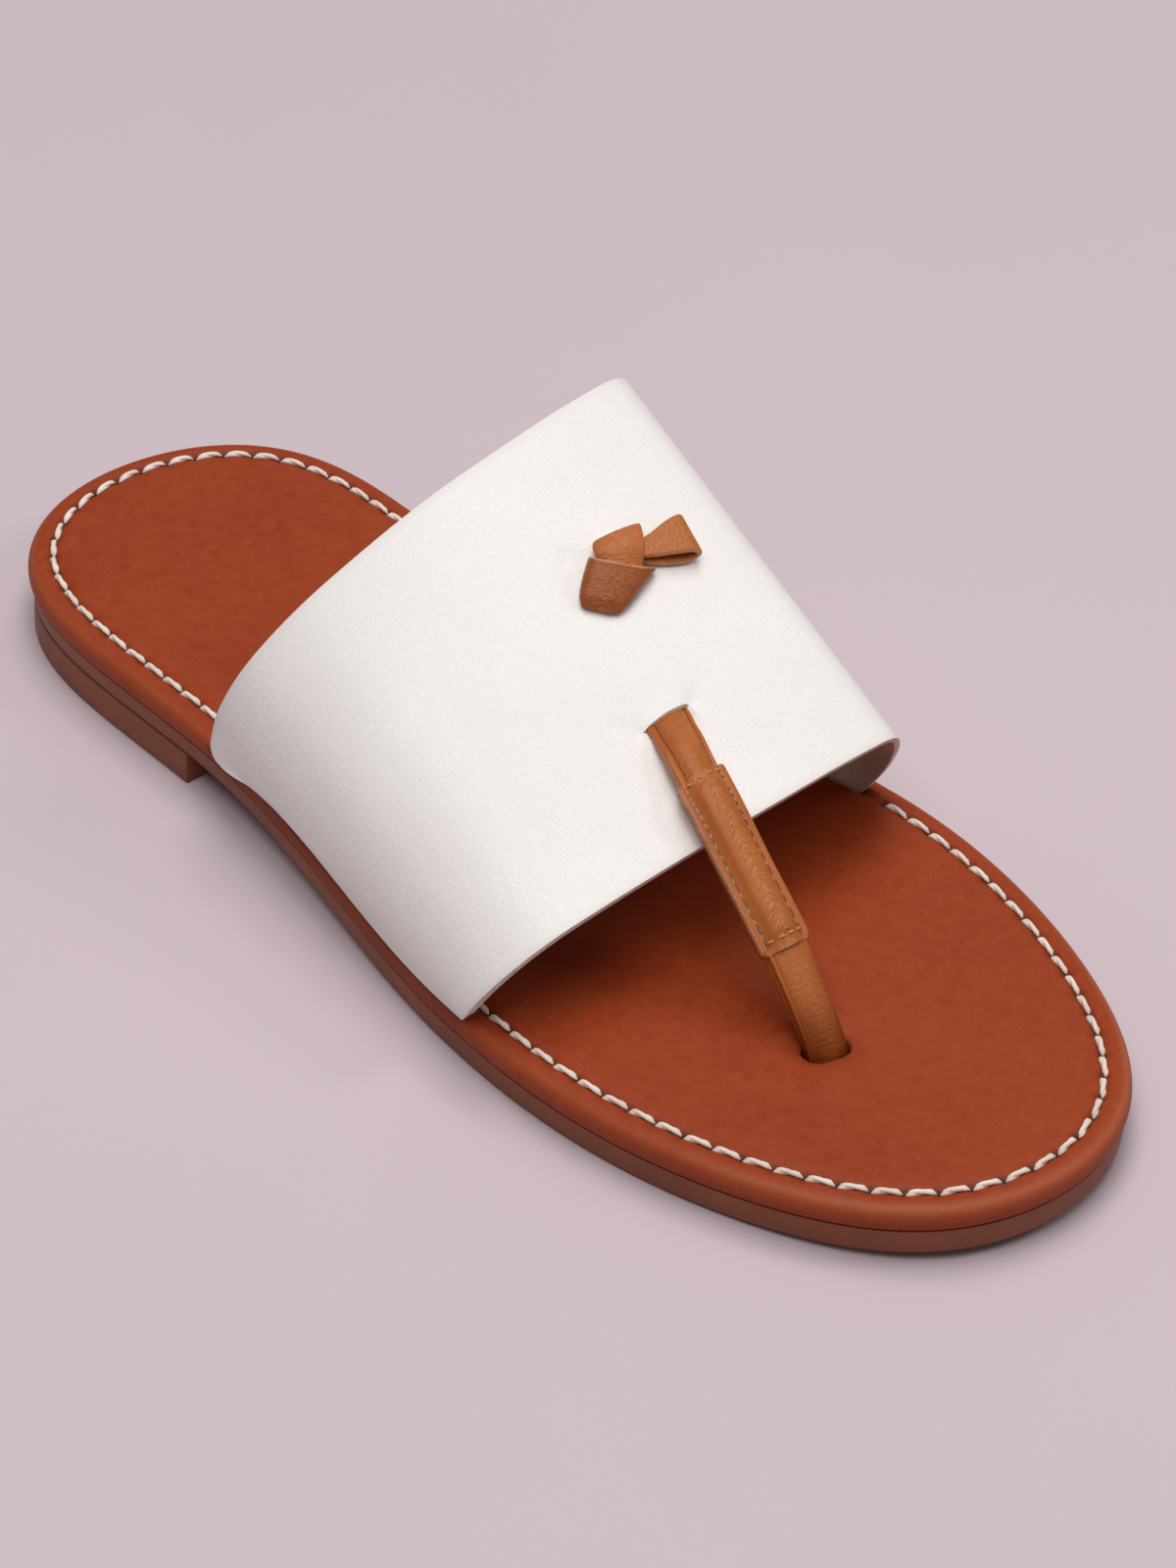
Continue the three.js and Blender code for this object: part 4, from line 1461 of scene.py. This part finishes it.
knot = {
    "across": 0.604,
    "along": 0.375,
    "turn": 44.3,
    "laceSoft": 0.35,
    "laceCut": (3, 4, 5, 14, 15, 16),
    "wrapSteps": 40,
    "loopSteps": 64,
    "foldSteps": 36,
    "foldSides": 36,
    # the fold is painted darker all over, as painted shade
    "foldShade": 0.75,
    "foldWall": 1.1,
    # depth of the fold under its middle line, at its mouth and at its end
    "foldLow": (1.3, 0.5),
    # how far the mouth's lip hangs back, and over how many sections that fades
    "lip": 1.9,
    "lipFade": 20,
    "lipEdge": 0.45,
    "lipEdgeFade": 4,
    # sections of the rings inside the mouth, then wall and hang of the rings on its lip
    "mouthSections": (7, 1),
    "lipRings": ((0.935, -0.6), (0.55, -0.25), (0.15, 0.5)),
    # shrink and reach of the rings that close the far end
    "endRings": ((0.86, 0.35), (0.6, 0.5)),
    # each row: one edge and the other, as along the crease, away from it and lift; then crown and thickness
    "fold": (
        ((-5.6, 0.0, 1.9), (6.2, 0.3, 1.5), 2.7, 1.0),
        ((-6.5, 4.6, 1.9), (3.8, 4.6, 1.5), 2.3, 1.0),
        ((-6.7, 7.9, 1.4), (1.6, 8.5, 1.2), 1.6, 1.0),
        ((-6.3, 9.2, 0.9), (0.4, 9.9, 0.8), 0.7, 1.0),
    ),
    "wrap": (
        ((-4.6, -3.6, 0.9), (2.2, -8.0, 0.9), 0.1, 1.1),
        ((-5.0, -3.0, 2.2), (2.6, -7.8, 2.6), 0.2, 1.1),
        ((-5.2, -1.9, 2.9), (2.8, -6.8, 3.7), 0.4, 1.1),
        ((-4.8, -0.3, 3.2), (3.5, -2.9, 4.1), 0.6, 1.1),
        ((-3.9, 1.3, 2.4), (3.7, 0.7, 2.6), 0.9, 1.1),
        ((-3.6, 3.4, 1.7), (3.4, 3.2, 1.7), 0.8, 1.1),
    ),
    "loop": (
        ((3.2, -0.6, 1.3), (2.6, -3.9, 1.3), 0.0, 1.0),
        ((5.2, -0.7, 1.4), (4.6, -5.2, 1.4), 0.0, 1.0),
        ((9.6, -1.6, 1.4), (7.2, -7.9, 1.6), 0.0, 1.0),
        ((12.5, -2.9, 1.6), (9.2, -10.2, 1.8), 0.0, 1.0),
        ((13.2, -3.4, 2.2), (9.8, -10.7, 2.4), 0.0, 1.0),
        ((12.6, -3.3, 2.8), (9.2, -10.3, 3.0), 0.0, 1.0),
        ((9.4, -2.3, 2.7), (7.0, -8.3, 3.0), 0.0, 1.0),
        ((5.2, -1.2, 2.1), (4.6, -5.6, 2.6), 0.0, 1.0),
        ((3.2, -0.9, 1.7), (2.8, -4.0, 1.8), 0.0, 1.0),
    ),
}

knotNormal = bandNormal(knot["across"], knot["along"])
knotCrease = Vector((math.cos(math.radians(knot["turn"])), -math.sin(math.radians(knot["turn"])), 0))
knotCrease = (knotCrease - knotNormal * knotCrease.dot(knotNormal)).normalized()
knotAway = knotCrease.cross(knotNormal).normalized()


def knotPlace(along, away, lift):
    step = 0.01
    middle = bandFace(knot["across"], knot["along"])
    over = (bandFace(knot["across"] + step, knot["along"]) - middle) / step
    forward = (bandFace(knot["across"], knot["along"] + step) - middle) / step
    move = knotCrease * along + knotAway * away
    mixed = over.dot(forward)
    spread = over.length_squared * forward.length_squared - mixed ** 2
    acrossMove = (move.dot(over) * forward.length_squared - move.dot(forward) * mixed) / spread
    alongMove = (move.dot(forward) * over.length_squared - move.dot(over) * mixed) / spread
    return onBand(knot["across"] + acrossMove, knot["along"] + alongMove, lift)


def knotSections(rows, steps):
    one = curveThrough([knotPlace(*row[0]) for row in rows])
    other = curveThrough([knotPlace(*row[1]) for row in rows])
    sections = []
    length = 0.0
    for i in range(steps + 1):
        t = i / steps
        crown, thick = between(rows, t, (2, 3))
        middle = [(one(s) + other(s)) / 2 for s in (max(0, t - 1e-3), t, min(1, t + 1e-3))]
        tangent = (middle[2] - middle[0]).normalized()
        side = other(t) - one(t)
        if sections:
            length += (middle[1] - sections[-1]["origin"]).length
        sections.append({
            "origin": middle[1], "side": side.normalized(), "up": tangent.cross(side).normalized(),
            "tangent": tangent, "width": side.length, "thick": thick, "crown": crown, "length": length,
        })
    return sections


def laceOutline(section):
    half, thick, crown = section["width"] / 2, section["thick"], section["crown"]
    soft = min(knot["laceSoft"], thick / 2.4)

    def dome(out):
        return crown * (1 - (out / half) ** 2)

    right = [
        (half * 0.5, dome(half * 0.5) - thick), (half - soft, -thick),
        (half - 0.3 * soft, -thick + 0.3 * soft), (half, -thick + soft),
        (half, -soft), (half - 0.3 * soft, -0.3 * soft), (half - soft, 0.0),
        (half * 0.75, dome(half * 0.75) + 0.03), (half * 0.4, dome(half * 0.4) + 0.05),
    ]
    left = [(-out, high) for out, high in reversed(right)]
    return [(0.0, crown - thick)] + right + [(0.0, crown + 0.06)] + left


def makeLace(name, node, rows, steps):
    shape = PieceMesh()
    sections = knotSections(rows, steps)
    outlines = [laceOutline(section) for section in sections]
    loops = shape.loftSections(sections, outlines)
    shape.fillRing(loops[0])
    shape.fillRing(loops[-1])
    for face in shape.bm.faces:
        if len(face.verts) != 4 or shape.segmentOf(face, len(outlines[0])) in knot["laceCut"]:
            face.material_index = 1
    finishPiece(shape.bm, name, [knotLeather, strapCut], [node], sharp=60)


# the folded end is a flattened tube that the wrap runs into
def pocketRing(section, wall, lipDip):
    half = section["width"] / 2 - wall
    ring = []
    for i in range(knot["foldSides"]):
        a = 2 * math.pi * i / knot["foldSides"] - math.pi / 2
        out = half * signedPower(math.cos(a), 0.6)
        if math.sin(a) >= 0:
            high = (section["crown"] - wall) * signedPower(math.sin(a), 0.85)
        else:
            high = -(section["low"] - wall * 0.5) * signedPower(-math.sin(a), 0.6)
        dip = lipDip * max(0.0, math.sin(a))
        move = section["side"] * out + section["up"] * high + section["tangent"] * dip
        ring.append(section["origin"] + move)
    return ring


def makePocket():
    shape = PieceMesh()
    bm = shape.bm
    strip = bm.verts.layers.float_vector.new("strip")
    paintedShade = bm.verts.layers.float.new("paintedShade")
    sections = knotSections(knot["fold"], knot["foldSteps"])
    for section in sections:
        section["low"] = lerp(*knot["foldLow"], section["length"] / sections[-1]["length"])
    lip = knot["lip"]
    rings = [pocketRing(sections[k], knot["foldWall"], lip) for k in knot["mouthSections"]]
    rings += [pocketRing(sections[0], wall, lip + dip) for wall, dip in knot["lipRings"]]
    mouthRings = len(rings)
    for k, section in enumerate(sections[1:], 1):
        hang = lip * max(0.0, 1 - k / knot["lipFade"])
        rings.append(pocketRing(section, 0.0, hang + knot["lipEdge"] * max(0.0, 1 - k / knot["lipEdgeFade"])))
    end = sections[-1]
    for shrink, reach in knot["endRings"]:
        closing = {**end, "origin": end["origin"] + end["tangent"] * reach}
        closing.update({key: end[key] * shrink for key in ("width", "crown", "low")})
        rings.append(pocketRing(closing, 0.0, 0.0))
    loops = shape.loft(rings)
    for k, loop in enumerate(loops):
        section = sections[min(max(k - mouthRings, 0), len(sections) - 1)]
        for v in loop:
            v[strip] = Vector(((v.co - section["origin"]).dot(section["side"]), section["length"], 0))
            # painted shade over the whole fold
            v[paintedShade] = knot["foldShade"]
    shape.fillRing(loops[0])
    shape.fillRing(loops[-1])
    for face in bm.faces:
        if all(1 <= v[shape.row] < mouthRings for v in face.verts):
            face.material_index = 1
    finishPiece(bm, "knot_fold_leather", [knotLeather, strapCut], ["knot_fold"], sharp=60)


makePocket()
makeLace("knot_wrap_leather", "knot_wrap", knot["wrap"], knot["wrapSteps"])
makeLace("knot_loop_leather", "knot_loop", knot["loop"], knot["loopSteps"])


# Floor, light and camera

stageLook = {
    "floor": linear(201, 185, 191),
    "floorWarm": linear(205, 188, 193),
    "floorSize": 8.0,
    "world": (1.0, 0.985, 0.975, 1.0),
    "worldStrength": 0.2,
    # place, size and power
    "lights": {
        "keySoftbox": ((0.32, 0.2, 1.7), 1.1, 12.7),
        "fillSoftbox": ((-0.5, -0.35, 1.75), 1.3, 16.2),
        "glintSoftbox": ((0.85, -0.82, 1.02), 0.4, 2.5),
    },
    "lightAim": (0.0, 0.0, 0.02),
}


def makeFloor():
    bm = bmesh.new()
    bmesh.ops.create_grid(bm, x_segments=2, y_segments=2, size=stageLook["floorSize"] / 2)
    mesh = bpy.data.meshes.new("studio_floor")
    bm.to_mesh(mesh)
    bm.free()
    material, tree, shader, spot = startMaterial("studioPaper")
    cloud = cloudAt(tree, spot, scale=7.0, contrast=0.6)
    plug(tree, shader, {
        "Base Color": mixColour(tree, cloud, stageLook["floor"], stageLook["floorWarm"]),
        "Roughness": 0.95,
        "Specular IOR Level": 0.1,
    })
    mesh.materials.append(material)
    floor = bpy.data.objects.new("studio_floor", mesh)
    bpy.context.scene.collection.objects.link(floor)


def makeLight(name, place, size, energy):
    light = bpy.data.lights.new(name, "AREA")
    light.shape = "DISK"
    light.size = size
    light.energy = energy
    lamp = bpy.data.objects.new(name, light)
    lamp.location = place
    aim = Vector(stageLook["lightAim"]) - Vector(place)
    lamp.rotation_euler = aim.to_track_quat("-Z", "Y").to_euler()
    bpy.context.scene.collection.objects.link(lamp)


def makeWorld():
    world = bpy.data.worlds.new("studioAir")
    world.use_nodes = True
    background = world.node_tree.nodes["Background"]
    background.inputs["Color"].default_value = stageLook["world"]
    background.inputs["Strength"].default_value = stageLook["worldStrength"]
    bpy.context.scene.world = world


camera = {
    "place": (-446.37, -495.55, 543.59),
    "forward": (0.53037, 0.57696, -0.62115),
    "roll": 0.74,
    "sensor": 36.0,
    "lens": 112.995,
    "clipEnd": 20.0,
}


def makeCamera():
    forward = Vector(camera["forward"]).normalized()
    right = forward.cross(Vector((0, 0, 1))).normalized()
    up = right.cross(forward)
    roll = math.radians(camera["roll"])
    right, up = right * math.cos(roll) + up * math.sin(roll), up * math.cos(roll) - right * math.sin(roll)
    data = bpy.data.cameras.new("photoCamera")
    data.lens = camera["lens"]
    data.sensor_width = camera["sensor"]
    data.clip_end = camera["clipEnd"]
    view = bpy.data.objects.new("photoCamera", data)
    turned = Matrix((right, up, -forward)).transposed().to_4x4()
    view.matrix_world = Matrix.Translation(Vector(camera["place"]) * mm) @ turned
    bpy.context.scene.collection.objects.link(view)
    bpy.context.scene.camera = view


makeFloor()
for lightName, lightLook in stageLook["lights"].items():
    makeLight(lightName, *lightLook)
makeWorld()
makeCamera()
bpy.context.scene.view_settings.view_transform = "Standard"
print("stage ready")
